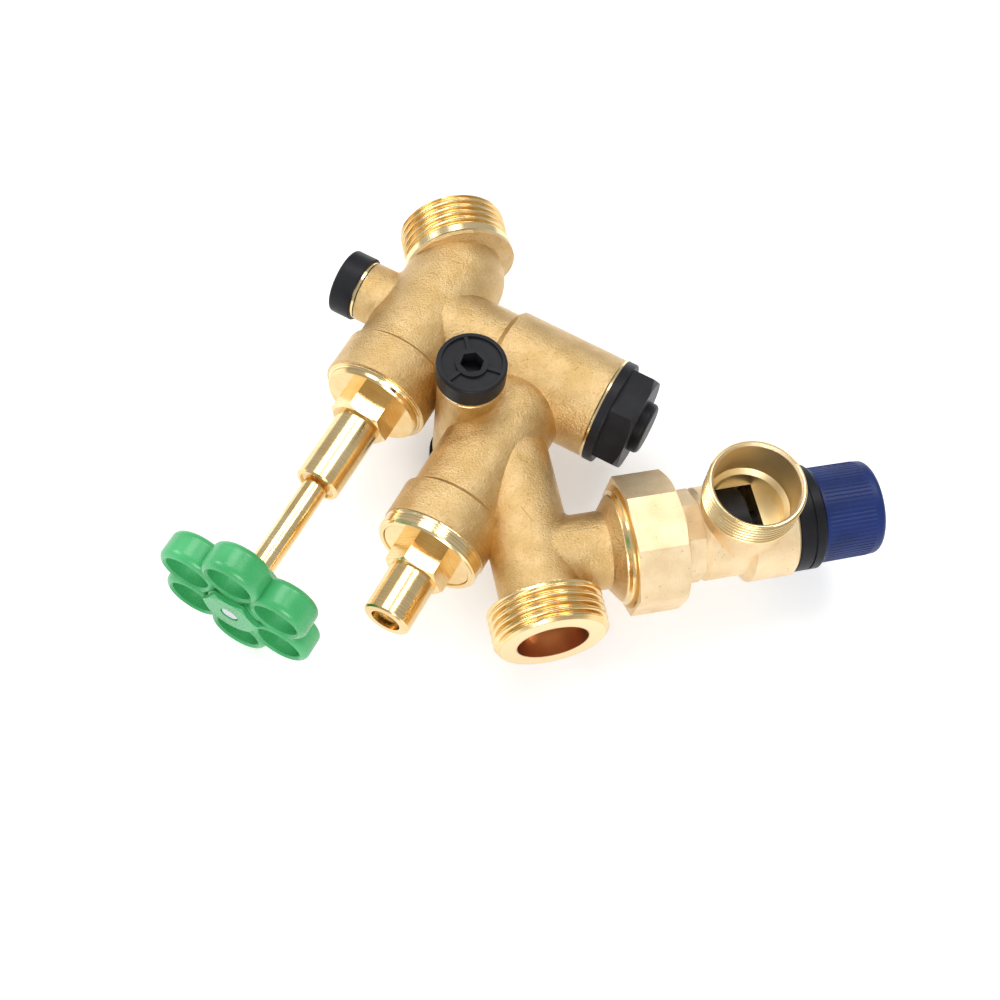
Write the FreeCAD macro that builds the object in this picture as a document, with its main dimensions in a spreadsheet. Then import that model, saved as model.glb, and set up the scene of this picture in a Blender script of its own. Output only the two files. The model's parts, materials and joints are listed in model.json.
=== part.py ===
import FreeCAD, Part
import math
import os
import Sketcher

document = FreeCAD.newDocument("SafetyValveGroup")
os.makedirs("parts", exist_ok=True)


# Driving dimensions in millimetres and degrees, grouped by the piece that they belong to
driving = {
    # Main run: outlet face at the origin, inlet face up the +Y axis
    "run_length": 145.0,
    "pipe_thread_diameter": 33.25,
    "pipe_thread_chamfer": 1.4,
    "outlet_thread_length": 11.3,
    "inlet_thread_length": 12.6,
    "inlet_collar_length": 3.6,
    "inlet_collar_diameter": 34.2,
    "pipe_mouth_diameter": 20.5,
    "pipe_mouth_depth": 12.0,
    "pipe_bore": 17.0,
    "run_tube_diameter": 24.2,
    "outlet_tube_overlap": 1.7,
    "inlet_tube_overlap": 4.0,
    "inlet_bore_overlap": 7.4,
    "thread_relief": 2.0,
    # Slanted branches
    "bonnet_angle": 40.0,
    "stop_to_inlet": 18.0,
    "stop_to_service": 59.3,
    "chamber_offset": 22.3,
    "test_port_offset": 21.85,
    # Upper stop valve housing, lengths from where its axis crosses the main run
    "stop_housing_diameter": 30.4,
    "stop_housing_back": 11.2,
    "stop_collar_start": 40.2,
    "stop_collar_diameter": 33.0,
    "stop_collar_end": 54.3,
    "stop_lip_diameter": 31.2,
    "stop_lip_end": 55.4,
    "lip_bevel": 0.6,
    "stop_bonnet_thread": 26.0,
    "stop_bonnet_seat": 46.6,
    "stop_cavity_diameter": 23.4,
    "stop_cavity_start": 15.0,
    "stop_seat_bore": 15.6,
    "stop_seat_web": 3.0,
    "seat_land_height": 1.2,
    "seat_land_width": 1.6,
    "pocket_dome_share": 0.8,
    "stop_inlet_cavity": 19.0,
    "stop_pocket_start": -3.6,
    # Lower service valve housing
    "service_housing_diameter": 28.8,
    "service_housing_back": 19.4,
    "service_collar_start": 29.0,
    "service_collar_diameter": 31.8,
    "service_collar_end": 41.9,
    "service_lip_diameter": 31.3,
    "service_lip_end": 46.5,
    "service_bonnet_thread": 27.6,
    "service_bonnet_seat": 30.4,
    "service_cavity_diameter": 22.0,
    "service_cavity_start": -3.0,
    "service_seat_bore": 14.4,
    "service_seat_web": 3.0,
    "service_bore_reach": 5.7,
    # Check valve chamber, lengths from the upper valve's axis
    "neck_diameter": 28.4,
    "chamber_diameter": 31.8,
    "chamber_start": 25.2,
    "chamber_end": 61.5,
    "neck_bore": 16.0,
    "cartridge_bore": 25.2,
    "cartridge_seat": 30.0,
    # Plugged ports
    "port_boss_diameter": 18.8,
    "port_face": 21.5,
    "test_port_face": 22.5,
    "port_thread_diameter": 11.4,
    "port_thread_depth": 8.8,
    "port_seal_recess": 1.9,
    "port_seal_recess_diameter": 15.0,
    "port_passage": 4.4,
    "gauge_port_x": -9.1,
    "gauge_to_service": 8.2,
    "plug_diameter": 20.4,
    "plug_thickness": 7.2,
    "plug_recess_depth": 0.9,
    "plug_recess_inner": 9.4,
    "plug_recess_outer": 17.6,
    "plug_rib_width": 1.1,
    "plug_key": 6.0,
    "plug_key_depth": 5.0,
    "plug_shank_length": 8.3,
    "plug_lower_round": 0.4,
    "plug_upper_round": 0.9,
    "plug_rib_sink": 0.15,
    "plug_rib_overlap": 0.3,
    # Safety valve branch, lengths from the main run's axis
    "branch_offset": 25.2,
    "branch_tube_diameter": 22.8,
    "branch_flare_start": 20.6,
    "branch_thread_start": 24.6,
    "branch_face": 33.0,
    "branch_bore": 15.0,
    # Shared clearances and small sizes
    "bonnet_gasket": 1.0,
    "bonnet_bevel": 0.5,
    "cast_round": 1.6,
    "running_clearance": 0.05,
    "loose_clearance": 0.3,
    "ring_section": 1.9,
    "screw_relief": 2.0,
    "gland_sink": 0.6,
    # Stop valve bonnet and spindle
    "stop_disc_flange": 29.8,
    "stop_disc_face": 57.0,
    "stop_hex": 16.2,
    "stop_hex_turn": 18.5,
    "stop_hex_end": 64.8,
    "stop_tube_diameter": 13.6,
    "stop_tube_end": 88.0,
    "stop_gland_depth": 9.0,
    "stop_gland_diameter": 11.0,
    "stop_stem_diameter": 7.6,
    "stop_screw_diameter": 11.0,
    "stop_screw_start": 42.0,
    "stop_screw_end": 66.0,
    "stop_stroke": 10.0,
    "foot_length": 3.0,
    "stop_foot_diameter": 9.6,
    "stop_neck_diameter": 7.4,
    "stop_holder_diameter": 18.8,
    "holder_cap_length": 1.6,
    "holder_floor": 1.8,
    "holder_wall": 1.6,
    "holder_round": 0.5,
    "seal_inset": 0.3,
    "seal_thickness": 2.4,
    "stop_seal_screw_head": 7.0,
    "seal_screw_head_height": 1.5,
    "seal_screw_shank": 3.4,
    "bush_length": 3.0,
    # Handwheel
    "hub_diameter": 16.4,
    "hub_bevel": 1.8,
    "hub_round": 0.8,
    "hub_back": 119.0,
    "hub_counterbore": 3.4,
    "hub_face": 134.4,
    "hub_plate_flats": 15.5,
    "hub_plate_height": 1.6,
    "petal_back": 123.4,
    "petal_thickness": 9.4,
    "petal_ring": 32.4,
    "petal_diameter": 18.2,
    "petal_hole": 13.4,
    "petal_hole_bevel": 0.7,
    "petal_round": 2.2,
    "wheel_seat_diameter": 5.8,
    "wheel_seat_length": 8.6,
    "wheel_screw_head": 5.4,
    "wheel_screw_head_height": 3.2,
    "wheel_screw_shank": 3.0,
    "wheel_screw_reach": 7.0,
    "wheel_screw_round": 0.5,
    "wheel_screw_clearance": 0.1,
    # Service valve bonnet and spindle
    "service_disc_face": 44.0,
    "service_hex": 16.2,
    "service_hex_turn": 20.5,
    "service_hex_end": 53.9,
    "service_tube_diameter": 14.2,
    "service_tube_end": 69.2,
    "service_stem_diameter": 8.8,
    "service_stem_end": 66.4,
    "service_screw_diameter": 10.4,
    "service_screw_start": 26.0,
    "service_screw_end": 46.0,
    "service_screw_bore_end": 49.0,
    "service_stroke": 7.0,
    "service_foot_diameter": 8.6,
    "service_neck_diameter": 6.6,
    "service_holder_diameter": 17.0,
    "service_seal_screw_head": 5.6,
    "service_key": 5.0,
    "service_key_depth": 5.0,
    "service_ring_groove": 56.0,
    "service_groove_share": 1.3,
    "service_tip_bevel": 0.4,
    # Check valve cartridge
    "cap_flange_diameter": 32.2,
    "cap_flange_thickness": 3.1,
    "cap_hex": 28.0,
    "cap_hex_height": 7.9,
    "cap_button_diameter": 16.0,
    "cap_button_height": 3.1,
    "cap_flange_round": 0.6,
    "cap_button_round": 1.4,
    "cap_ring_place": 2.6,
    "cap_groove_share": 1.5,
    "cap_sleeve_gap": 0.1,
    "cartridge_length": 20.2,
    "cartridge_wall": 2.8,
    "cartridge_seat_bore": 14.4,
    "cartridge_seat_thickness": 2.8,
    "cartridge_window": 7.6,
    "poppet_diameter": 17.8,
    "poppet_thickness": 2.0,
    "poppet_seal_thickness": 1.5,
    "poppet_seal_inner": 8.0,
    "poppet_stem": 4.8,
    "guide_thickness": 3.0,
    "guide_hole": 3.4,
    "guide_hole_ring": 12.4,
    "guide_sink": 0.4,
    "poppet_stem_overhang": 0.5,
    "poppet_nose": 0.6,
    "cartridge_window_shift": 1.0,
    "check_spring_diameter": 11.4,
    "check_spring_wire": 0.9,
    "check_spring_turns": 4.5,
    # Union nut
    "nut_start": 26.0,
    "nut_end": 41.0,
    "nut_flats": 37.8,
    "nut_mouth_diameter": 36.0,
    "nut_mouth_depth": 1.8,
    "union_gasket": 1.6,
    "tail_flange_thickness": 3.0,
    "tail_flange_diameter": 32.4,
    "tail_diameter": 25.2,
    "union_gasket_inset": 0.5,
    # Safety valve body
    "safety_flats": 25.4,
    "safety_flats_end": 47.4,
    "safety_flats_cone": 1.6,
    "safety_barrel_diameter": 27.4,
    "safety_barrel_end": 74.6,
    "safety_rim_diameter": 32.2,
    "safety_rim_length": 14.3,
    "safety_rim_bevel": 0.6,
    "safety_port_x": 61.0,
    "safety_port_height": 27.4,
    "safety_port_diameter": 28.0,
    "safety_port_thread_start": 18.0,
    "safety_port_boss_diameter": 26.4,
    "safety_port_bore": 24.6,
    "safety_port_floor": 7.8,
    "safety_port_chamfer": 0.6,
    "safety_port_mouth": 0.7,
    "safety_port_step": 14.0,
    "safety_port_inner": 21.8,
    "safety_inlet_bore": 14.0,
    "safety_nozzle_wall": 1.9,
    "safety_nozzle_bevel": 1.0,
    "safety_nozzle_root": 4.0,
    "safety_seat_face": 51.2,
    "safety_cavity_start": 50.0,
    "safety_cavity_end": 66.2,
    "safety_cavity_diameter": 24.6,
    "safety_recess_depth": 1.9,
    "safety_recess_diameter": 24.6,
    "safety_recess_ledge": 1.8,
    # Safety valve trim
    "safety_seal_diameter": 22.8,
    "safety_carrier_diameter": 24.0,
    "safety_carrier_length": 8.35,
    "safety_carrier_bevel": 0.5,
    "safety_guide_stem": 8.2,
    "safety_stem_overhang": 0.3,
    "safety_spindle_root": 3.0,
    "diaphragm_thickness": 1.2,
    "diaphragm_hole": 9.0,
    "spring_cup_diameter": 15.0,
    "spring_cup_thickness": 1.6,
    "spring_cup_hub": 1.4,
    "safety_spring_diameter": 12.4,
    "safety_spring_wire": 1.6,
    "safety_spring_turns": 4.0,
    "safety_spindle_diameter": 4.6,
    "bonnet_ring_diameter": 30.8,
    "bonnet_ring_length": 8.4,
    "bonnet_ring_bevel": 0.7,
    "bonnet_groove_depth": 0.4,
    "bonnet_groove_width": 0.6,
    "bonnet_groove_place": 3.2,
    "bonnet_tube_diameter": 21.0,
    "bonnet_tube_bore": 16.6,
    "bonnet_tube_length": 17.8,
    "adjuster_length": 4.6,
    "adjuster_sink": 0.8,
    "adjuster_slot": 2.2,
    "adjuster_slot_depth": 1.6,
    "lift_nut_diameter": 8.4,
    "lift_nut_length": 2.0,
    "lift_nut_gap": 2.2,
    "knob_gap": 0.4,
    "knob_length": 18.3,
    "knob_diameter": 28.0,
    "knob_end_diameter": 27.7,
    "knob_wall": 1.9,
    "knob_round": 1.8,
    "knob_web_thickness": 1.1,
}

sheet = document.addObject("Spreadsheet::Sheet", "Sizes")
for row, (name, value) in enumerate(driving.items(), start=1):
    sheet.set("A%d" % row, name)
    sheet.set("B%d" % row, str(value))
    sheet.setAlias("B%d" % row, name)
document.recompute()


class Size:
    """A length or angle that knows its number and the sheet expression that gives it."""

    def __init__(self, value, text):
        self.value = value
        self.text = text

    def combine(self, other, sign, value):
        return Size(value, "(%s %s %s)" % (self.text, sign, as_size(other).text))

    def __add__(self, other):
        return self.combine(other, "+", self.value + as_size(other).value)

    def __radd__(self, other):
        return as_size(other) + self

    def __sub__(self, other):
        return self.combine(other, "-", self.value - as_size(other).value)

    def __rsub__(self, other):
        return as_size(other) - self

    def __mul__(self, other):
        return self.combine(other, "*", self.value * as_size(other).value)

    def __rmul__(self, other):
        return as_size(other) * self

    def __truediv__(self, other):
        return self.combine(other, "/", self.value / as_size(other).value)

    def __neg__(self):
        return as_size(0) - self

    def cos(self):
        return Size(math.cos(math.radians(self.value)), "cos(%s)" % self.text)

    def sin(self):
        return Size(math.sin(math.radians(self.value)), "sin(%s)" % self.text)


def as_size(number):
    if isinstance(number, Size):
        return number
    return Size(float(number), "%.9g" % number)


def size(name):
    return Size(float(sheet.get(name)), "Sizes." + name)


class Frame:
    """A branch: an origin, and a direction in the group's plane or straight up or down."""

    def __init__(self, x, y, z=0, turn=0, upright=0):
        self.x = as_size(x)
        self.y = as_size(y)
        self.z = as_size(z)
        self.turn = as_size(turn)
        self.upright = upright

    def along(self, distance):
        distance = as_size(distance)
        if self.upright:
            return Frame(self.x, self.y, self.z + distance * self.upright, 0, self.upright)
        x = self.x + distance * self.turn.cos()
        y = self.y + distance * self.turn.sin()
        return Frame(x, y, self.z, self.turn)

    def turned(self, degrees):
        return Frame(self.x, self.y, self.z, self.turn + degrees)

    def placement(self):
        base = FreeCAD.Vector(self.x.value, self.y.value, self.z.value)
        if self.upright:
            return FreeCAD.Placement(base, FreeCAD.Rotation(FreeCAD.Vector(0, 1, 0), -90 * self.upright))
        return FreeCAD.Placement(base, FreeCAD.Rotation(FreeCAD.Vector(0, 0, 1), self.turn.value))

    def bind(self, item, prop="Placement"):
        setattr(item, prop, self.placement())
        for letter, distance in (("x", self.x), ("y", self.y), ("z", self.z)):
            item.setExpression("%s.Base.%s" % (prop, letter), distance.text)
        if not self.upright:
            item.setExpression("%s.Rotation.Angle" % prop, self.turn.text)


def shift(x, y, towards, radius):
    """The point one radius from a square corner, along its side towards another corner."""
    if abs(towards[0].value - x.value) > abs(towards[1].value - y.value):
        return (x + radius if towards[0].value > x.value else x - radius, y)
    return (x, y + radius if towards[1].value > y.value else y - radius)


def round_centre(start, finish, before, radius):
    """The centre of a square corner's round, on the side away from the corner."""
    if abs(before[1].value - start.y) < 1e-9:
        return FreeCAD.Vector(start.x, finish.y, 0)
    return FreeCAD.Vector(finish.x, start.y, 0)


def arc_between(centre, start, finish):
    """The shorter arc between two points, and whether it runs anticlockwise from the first."""
    first = math.atan2(start.y - centre.y, start.x - centre.x)
    last = math.atan2(finish.y - centre.y, finish.x - centre.x)
    circle = Part.Circle(centre, FreeCAD.Vector(0, 0, 1), (start - centre).Length)
    sweep = (last - first) % (2 * math.pi)
    if sweep <= math.pi + 1e-9:
        return Part.ArcOfCircle(circle, first, first + sweep), True
    return Part.ArcOfCircle(circle, last, last + 2 * math.pi - sweep), False


# Slope of the turned-off corners of a spanner hexagon
spanner_bevel = math.tan(math.radians(30))
pieces = []


class Piece:
    """One physical piece. Its own X axis lies on the branch that carries it."""

    def __init__(self, label, frame):
        self.body = document.addObject("PartDesign::Body", label)
        self.body.Label = label
        frame.bind(self.body)
        self.count = 0
        pieces.append(self.body)

    def origin(self, role):
        return next(item for item in self.body.Origin.OriginFeatures if item.Role == role)

    def sketch(self, role):
        self.count += 1
        sketch = self.body.newObject("Sketcher::SketchObject", "%s_sketch%d" % (self.body.Label, self.count))
        sketch.AttachmentSupport = [(self.origin(role), "")]
        sketch.MapMode = "FlatFace"
        return sketch

    def fix(self, sketch, geometry, point, x, y):
        """Ties one sketch point to its sizes, measured from the sketch's origin."""
        for kind, axis, distance in (("DistanceX", -2, x), ("DistanceY", -1, y)):
            distance = as_size(distance)
            if distance.text == "0":
                sketch.addConstraint(Sketcher.Constraint("PointOnObject", geometry, point, axis))
                continue
            where = Sketcher.Constraint(kind, -1, 1, geometry, point, distance.value)
            index = sketch.addConstraint(where)
            sketch.setExpression("Constraints[%d]" % index, distance.text)

    def outline(self, sketch, corners):
        """Draws a closed outline through the corners, in order.

        A corner is (x, y), or (x, y, radius) where two square sides meet in a round, or (x, y, "ball") where
        the stretch to the next corner is an arc centred on the X axis.
        """
        ends = []
        count = len(corners)
        points = [(as_size(corner[0]), as_size(corner[1])) for corner in corners]
        for index, corner in enumerate(corners):
            extra = corner[2] if len(corner) == 3 else None
            x, y = points[index]
            if extra is None or extra == "ball":
                ends.append((x, y, extra, None))
                continue
            radius = as_size(extra)
            before = points[index - 1]
            after = points[(index + 1) % count]
            ends.append(shift(x, y, before, radius) + ("round", radius))
            ends.append(shift(x, y, after, radius) + (None, None))
        tips = []
        for index, (x, y, kind, radius) in enumerate(ends):
            next_x, next_y = ends[(index + 1) % len(ends)][:2]
            start = FreeCAD.Vector(x.value, y.value, 0)
            finish = FreeCAD.Vector(next_x.value, next_y.value, 0)
            if kind is None:
                tips.append((sketch.addGeometry(Part.LineSegment(start, finish), False), 1, 2))
                continue
            if kind == "ball":
                gap = start - finish
                centre_x = (start.dot(start) - finish.dot(finish)) / 2 / gap.x if gap.x else start.x
                centre = FreeCAD.Vector(centre_x, 0, 0)
            else:
                centre = round_centre(start, finish, ends[index - 1], radius.value)
            arc, forward = arc_between(centre, start, finish)
            number = sketch.addGeometry(arc, False)
            tips.append((number, 1, 2) if forward else (number, 2, 1))
            if kind == "ball":
                sketch.addConstraint(Sketcher.Constraint("PointOnObject", number, 3, -1))
            else:
                limit = sketch.addConstraint(Sketcher.Constraint("Radius", number, radius.value))
                sketch.setExpression("Constraints[%d]" % limit, radius.text)
        for index, (number, first, last) in enumerate(tips):
            following, opening, _ = tips[(index + 1) % len(tips)]
            sketch.addConstraint(Sketcher.Constraint("Coincident", number, last, following, opening))
            self.fix(sketch, number, first, ends[index][0], ends[index][1])

    def circle(self, sketch, x, y, diameter):
        x, y, radius = as_size(x), as_size(y), as_size(diameter) / 2
        circle = Part.Circle(FreeCAD.Vector(x.value, y.value, 0), FreeCAD.Vector(0, 0, 1), radius.value)
        index = sketch.addGeometry(circle, False)
        self.fix(sketch, index, 3, x, y)
        limit = sketch.addConstraint(Sketcher.Constraint("Radius", index, radius.value))
        sketch.setExpression("Constraints[%d]" % limit, radius.text)

    def feature(self, kind, sketch):
        item = self.body.newObject("PartDesign::" + kind, "%s_%s%d" % (self.body.Label, kind, self.count))
        item.Profile = sketch
        sketch.Visibility = False
        return item

    def turned(self, corners, cut=False, frame=None, plane="XY_Plane"):
        """Spins a section of (distance along the axis, radius) corners about a branch's axis."""
        upright = frame is not None and frame.upright
        sketch = self.sketch("XZ_Plane" if upright else plane)
        self.outline(sketch, corners)
        if frame is not None and upright:
            # In this plane the sketch's own Y is the body's Z, and its normal is the body's -Y
            side = Frame(frame.x, frame.z, -frame.y, 90 * frame.upright)
            side.bind(sketch, "AttachmentOffset")
        elif frame is not None:
            frame.bind(sketch, "AttachmentOffset")
        spun = self.feature("Groove" if cut else "Revolution", sketch)
        spun.ReferenceAxis = (sketch, ["H_Axis"])
        spun.Angle = 360
        return spun

    def across(self, start):
        """A sketch square to the piece's axis, at a distance along it."""
        sketch = self.sketch("YZ_Plane")
        start = as_size(start)
        sketch.AttachmentOffset = FreeCAD.Placement(FreeCAD.Vector(0, 0, start.value), FreeCAD.Rotation())
        sketch.setExpression("AttachmentOffset.Base.z", start.text)
        return sketch

    def pad(self, sketch, length):
        pad = self.feature("Pad", sketch)
        pad.setExpression("Length", as_size(length).text)
        return pad

    def pocket(self, sketch, depth):
        """Cuts from the sketch back towards the start of the piece's axis."""
        pocket = self.feature("Pocket", sketch)
        pocket.setExpression("Length", as_size(depth).text)
        return pocket

    def polygon(self, sketch, sides, flats, turn=0):
        radius = as_size(flats) / (2 * math.cos(math.pi / sides))
        angles = [as_size(turn) + 360 / sides * (index + 0.5) for index in range(sides)]
        self.outline(sketch, [(radius * angle.cos(), radius * angle.sin()) for angle in angles])

    def wrench(self, sides, flats, start, end, turn=0, first=True, last=True):
        """A block with flats for a spanner, its corners turned off at both ends."""
        start, end, flats = as_size(start), as_size(end), as_size(flats)
        sketch = self.across(start)
        self.polygon(sketch, sides, flats, turn)
        self.pad(sketch, end - start)
        corner = flats / (2 * math.cos(math.pi / sides)) + 1
        flat = flats / 2
        drop = (corner - flat) * spanner_bevel
        if first:
            self.turned([(start, flat), (start, corner), (start + drop, corner)], cut=True)
        if last:
            self.turned([(end - drop, corner), (end, corner), (end, flat)], cut=True)

    def socket(self, flats, mouth, depth):
        sketch = self.across(mouth)
        self.polygon(sketch, 6, flats)
        self.pocket(sketch, depth)

    def repeat(self, features, times):
        pattern = self.body.newObject("PartDesign::PolarPattern", "%s_pattern%d" % (self.body.Label, self.count))
        pattern.Originals = features
        pattern.Axis = (self.origin("X_Axis"), [""])
        pattern.Angle = 360
        pattern.Occurrences = times
        self.body.Tip = pattern
        return pattern

    def round_edges(self, chosen, radius):
        """Rounds each edge of the piece so far that a test chooses."""
        document.recompute()
        last = self.body.Tip
        names = ["Edge%d" % number for number, edge in enumerate(last.Shape.Edges, start=1) if chosen(edge)]
        self.count += 1
        item = self.body.newObject("PartDesign::Fillet", "%s_Fillet%d" % (self.body.Label, self.count))
        item.Base = (last, names)
        item.setExpression("Radius", as_size(radius).text)
        return item


def tube(start, end, inner, outer):
    """The section of a plain sleeve or washer, from diameters."""
    inner, outer = as_size(inner) / 2, as_size(outer) / 2
    return [(start, inner), (end, inner), (end, outer), (start, outer)]


def rod(start, end, diameter):
    radius = as_size(diameter) / 2
    return [(start, 0), (end, 0), (end, radius), (start, radius)]


def seal_ring(label, frame, place, inner, outer):
    """A rubber ring whose round section fills the gap between two diameters, less a running clearance."""
    gap = (as_size(outer) - inner) / 2
    section = gap / 2 - size("running_clearance") / 2
    ring = document.addObject("Part::Torus", label)
    ring.Label = label
    ring.setExpression("Radius1", ((as_size(inner) + outer) / 4).text)
    ring.setExpression("Radius2", section.text)
    lay_torus(ring, frame.along(place))
    pieces.append(ring)
    return ring


def lay_torus(ring, frame):
    """Turns a ring that is made about +Z so that it lies about the branch's axis."""
    base = frame.placement()
    ring.Placement = base.multiply(FreeCAD.Placement(FreeCAD.Vector(), FreeCAD.Rotation(FreeCAD.Vector(0, 1, 0), 90)))
    for letter, distance in (("x", frame.x), ("y", frame.y), ("z", frame.z)):
        ring.setExpression("Placement.Base.%s" % letter, distance.text)


# Branch frames: every axis lies in the group's plane except the gauge ports and the safety valve's outlet
angle = size("bonnet_angle")
main_run = Frame(0, 0, 0, 90)
stop_crossing = size("run_length") - size("stop_to_inlet")
stop_axis = Frame(0, stop_crossing, 0, 270 - angle)
service_crossing = stop_crossing - size("stop_to_service")
service_axis = Frame(0, service_crossing, 0, 270 - angle)
chamber_axis = stop_axis.along(size("chamber_offset")).turned(90)
test_port = stop_axis.along(size("test_port_offset")).turned(-90)
branch_axis = Frame(0, size("branch_offset"), 0, 0)
gauge_y = service_crossing + size("gauge_to_service")
gauge_front = Frame(size("gauge_port_x"), gauge_y, 0, 0, 1)
gauge_back = Frame(size("gauge_port_x"), gauge_y, 0, 0, -1)


# Where the safety valve's spring housing ends, along the branch
bonnet_tube_end = size("safety_barrel_end") + size("bonnet_tube_length")


# The casting: housings, tubes and bosses first, then every passage
def housing(body, name, frame):
    """A slanted valve housing: domed back, plain barrel, shouldered collar and a machined lip."""
    radius = size(name + "_housing_diameter") / 2
    collar = size(name + "_collar_diameter") / 2
    lip, lip_bevel = size(name + "_lip_diameter") / 2, size("lip_bevel")
    back = -size(name + "_housing_back")
    start, end, face = size(name + "_collar_start"), size(name + "_collar_end"), size(name + "_lip_end")
    body.turned([
        (back, 0, "ball"), (back + radius, radius), (start, radius), (start + (collar - radius), collar),
        (end, collar), (end + (collar - lip) / 2, lip), (face - lip_bevel, lip), (face, lip - lip_bevel), (face, 0),
    ], frame=frame)


def port_void(body, frame, face):
    """A plugged port: a seal recess, a thread and a drilling through to the water space."""
    thread = size("port_thread_diameter") / 2
    recess = size("port_seal_recess_diameter") / 2
    passage = size("port_passage") / 2
    bottom, ledge = face - size("port_thread_depth"), face - size("port_seal_recess")
    body.turned([
        (0, 0), (0, passage), (bottom, passage), (bottom, thread), (ledge, thread), (ledge, recess),
        (face + 1, recess), (face + 1, 0),
    ], cut=True, frame=frame)


def valve_body():
    body = Piece("valve_body", Frame(0, 0))
    thread, chamfer = size("pipe_thread_diameter") / 2, size("pipe_thread_chamfer")
    tube_radius, collar = size("run_tube_diameter") / 2, size("inlet_collar_diameter") / 2
    length, relief = size("run_length"), size("thread_relief")
    housing(body, "service", service_axis)
    outlet_end, outlet_reach = size("outlet_thread_length"), service_crossing - size("outlet_tube_overlap")
    body.turned([
        (0, 0), (0, thread - chamfer), (chamfer, thread), (outlet_end, thread),
        (outlet_end + relief, tube_radius), (outlet_reach, tube_radius), (outlet_reach, 0),
    ], frame=main_run)
    branch = size("branch_tube_diameter") / 2
    flare, start, face = size("branch_flare_start"), size("branch_thread_start"), size("branch_face")
    body.turned([
        (0, 0), (0, branch), (flare, branch), (start, thread), (face - chamfer, thread),
        (face, thread - chamfer), (face, 0),
    ], frame=branch_axis)
    neck, chamber = size("neck_diameter") / 2, size("chamber_diameter") / 2
    shoulder, chamber_end = size("chamber_start"), size("chamber_end")
    body.turned([
        (0, 0), (0, neck), (shoulder, neck), (shoulder + (chamber - neck), chamber),
        (chamber_end, chamber), (chamber_end, 0),
    ], frame=chamber_axis)
    housing(body, "stop", stop_axis)
    inlet_end, inlet_reach = length - size("inlet_thread_length"), stop_crossing - size("inlet_tube_overlap")
    collar_start = inlet_end - size("inlet_collar_length")
    body.turned([
        (inlet_reach, 0), (inlet_reach, tube_radius), (collar_start - relief, tube_radius),
        (collar_start, collar),
        (inlet_end, collar), (inlet_end, thread), (length - chamfer, thread), (length, thread - chamfer),
        (length, 0),
    ], frame=main_run)
    boss = size("port_boss_diameter")
    body.turned(rod(0, size("test_port_face"), boss), frame=test_port)
    body.turned(rod(-size("port_face"), size("port_face"), boss), frame=gauge_front)
    body.round_edges(cast_corner, size("cast_round"))
    passages(body)
    return body


def cast_corner(edge):
    """Whether an edge is an unbroken loop where one round limb of the casting runs into another."""
    return edge.isClosed() and not edge.Degenerated and isinstance(edge.Curve, Part.BSplineCurve)


def passages(body):
    mouth, bore = size("pipe_mouth_diameter") / 2, size("pipe_bore") / 2
    depth, length = size("pipe_mouth_depth"), size("run_length")
    reach = service_crossing - size("service_bore_reach")
    body.turned([
        (-1, 0), (-1, mouth), (depth, mouth), (depth + (mouth - bore), bore), (reach, bore), (reach, 0),
    ], cut=True, frame=main_run)
    reach = stop_crossing - size("inlet_bore_overlap")
    body.turned([
        (reach, 0), (reach, bore), (length - depth - (mouth - bore), bore), (length - depth, mouth),
        (length + 1, mouth), (length + 1, 0),
    ], cut=True, frame=main_run)
    inlet = size("stop_inlet_cavity") / 2
    pocket = size("stop_pocket_start")
    dome = inlet * size("pocket_dome_share")
    valve_void(body, "stop", stop_axis, [(pocket, 0), (pocket + dome, inlet)], inlet)
    neck = size("neck_bore") / 2
    cartridge = size("cartridge_bore") / 2
    seat, end = size("cartridge_seat"), size("chamber_end") + 1
    body.turned([
        (0, 0), (0, neck), (seat, neck), (seat, cartridge), (end, cartridge), (end, 0),
    ], cut=True, frame=chamber_axis)
    valve_void(body, "service", service_axis, [(-chamber_gap, 0), (-chamber_gap, neck)], neck)
    body.turned(rod(0, size("branch_face") + 1, size("branch_bore")), cut=True, frame=branch_axis)
    port_void(body, test_port, size("test_port_face"))
    port_void(body, gauge_front, size("port_face"))
    port_void(body, gauge_back, size("port_face"))


# Distance from the service valve's crossing back to the chamber's axis, and along that axis
chamber_gap = size("stop_to_service") * angle.cos() - size("chamber_offset")
chamber_exit = size("stop_to_service") * angle.sin()


def valve_void(body, name, frame, opening, inlet):
    """The water space of a slanted valve: inlet side, seat with its raised land, cavity and bonnet thread."""
    seat, cavity = size(name + "_seat_bore") / 2, size(name + "_cavity_diameter") / 2
    start = size(name + "_cavity_start")
    land, width = size("seat_land_height"), size("seat_land_width")
    thread, ledge = size(name + "_bonnet_thread") / 2, size(name + "_bonnet_seat")
    web, face = start - size(name + "_seat_web"), size(name + "_lip_end") + 1
    body.turned(opening + [
        (web, inlet), (web, seat), (start + land, seat), (start + land, seat + width),
        (start, seat + width + land / 2), (start, cavity), (ledge, cavity), (ledge, thread),
        (face, thread), (face, 0),
    ], cut=True, frame=frame)


class Trim:
    """Where the moving parts of one slanted valve lie along its axis, worked out from the open position."""

    def __init__(self, name, frame):
        self.name = name
        self.frame = frame
        gap = size("running_clearance")
        self.land = size(name + "_cavity_start") + size("seat_land_height")
        self.seal = self.land + size(name + "_stroke")
        self.holder = self.seal + size("seal_thickness")
        self.socket = self.holder + size("holder_floor")
        self.foot = self.socket + gap * 2
        self.foot_end = self.foot + size("foot_length")
        self.cap = self.foot_end + gap * 2
        self.cap_end = self.cap + size("holder_cap_length")

    def size(self, name):
        return size(self.name + "_" + name)


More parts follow.
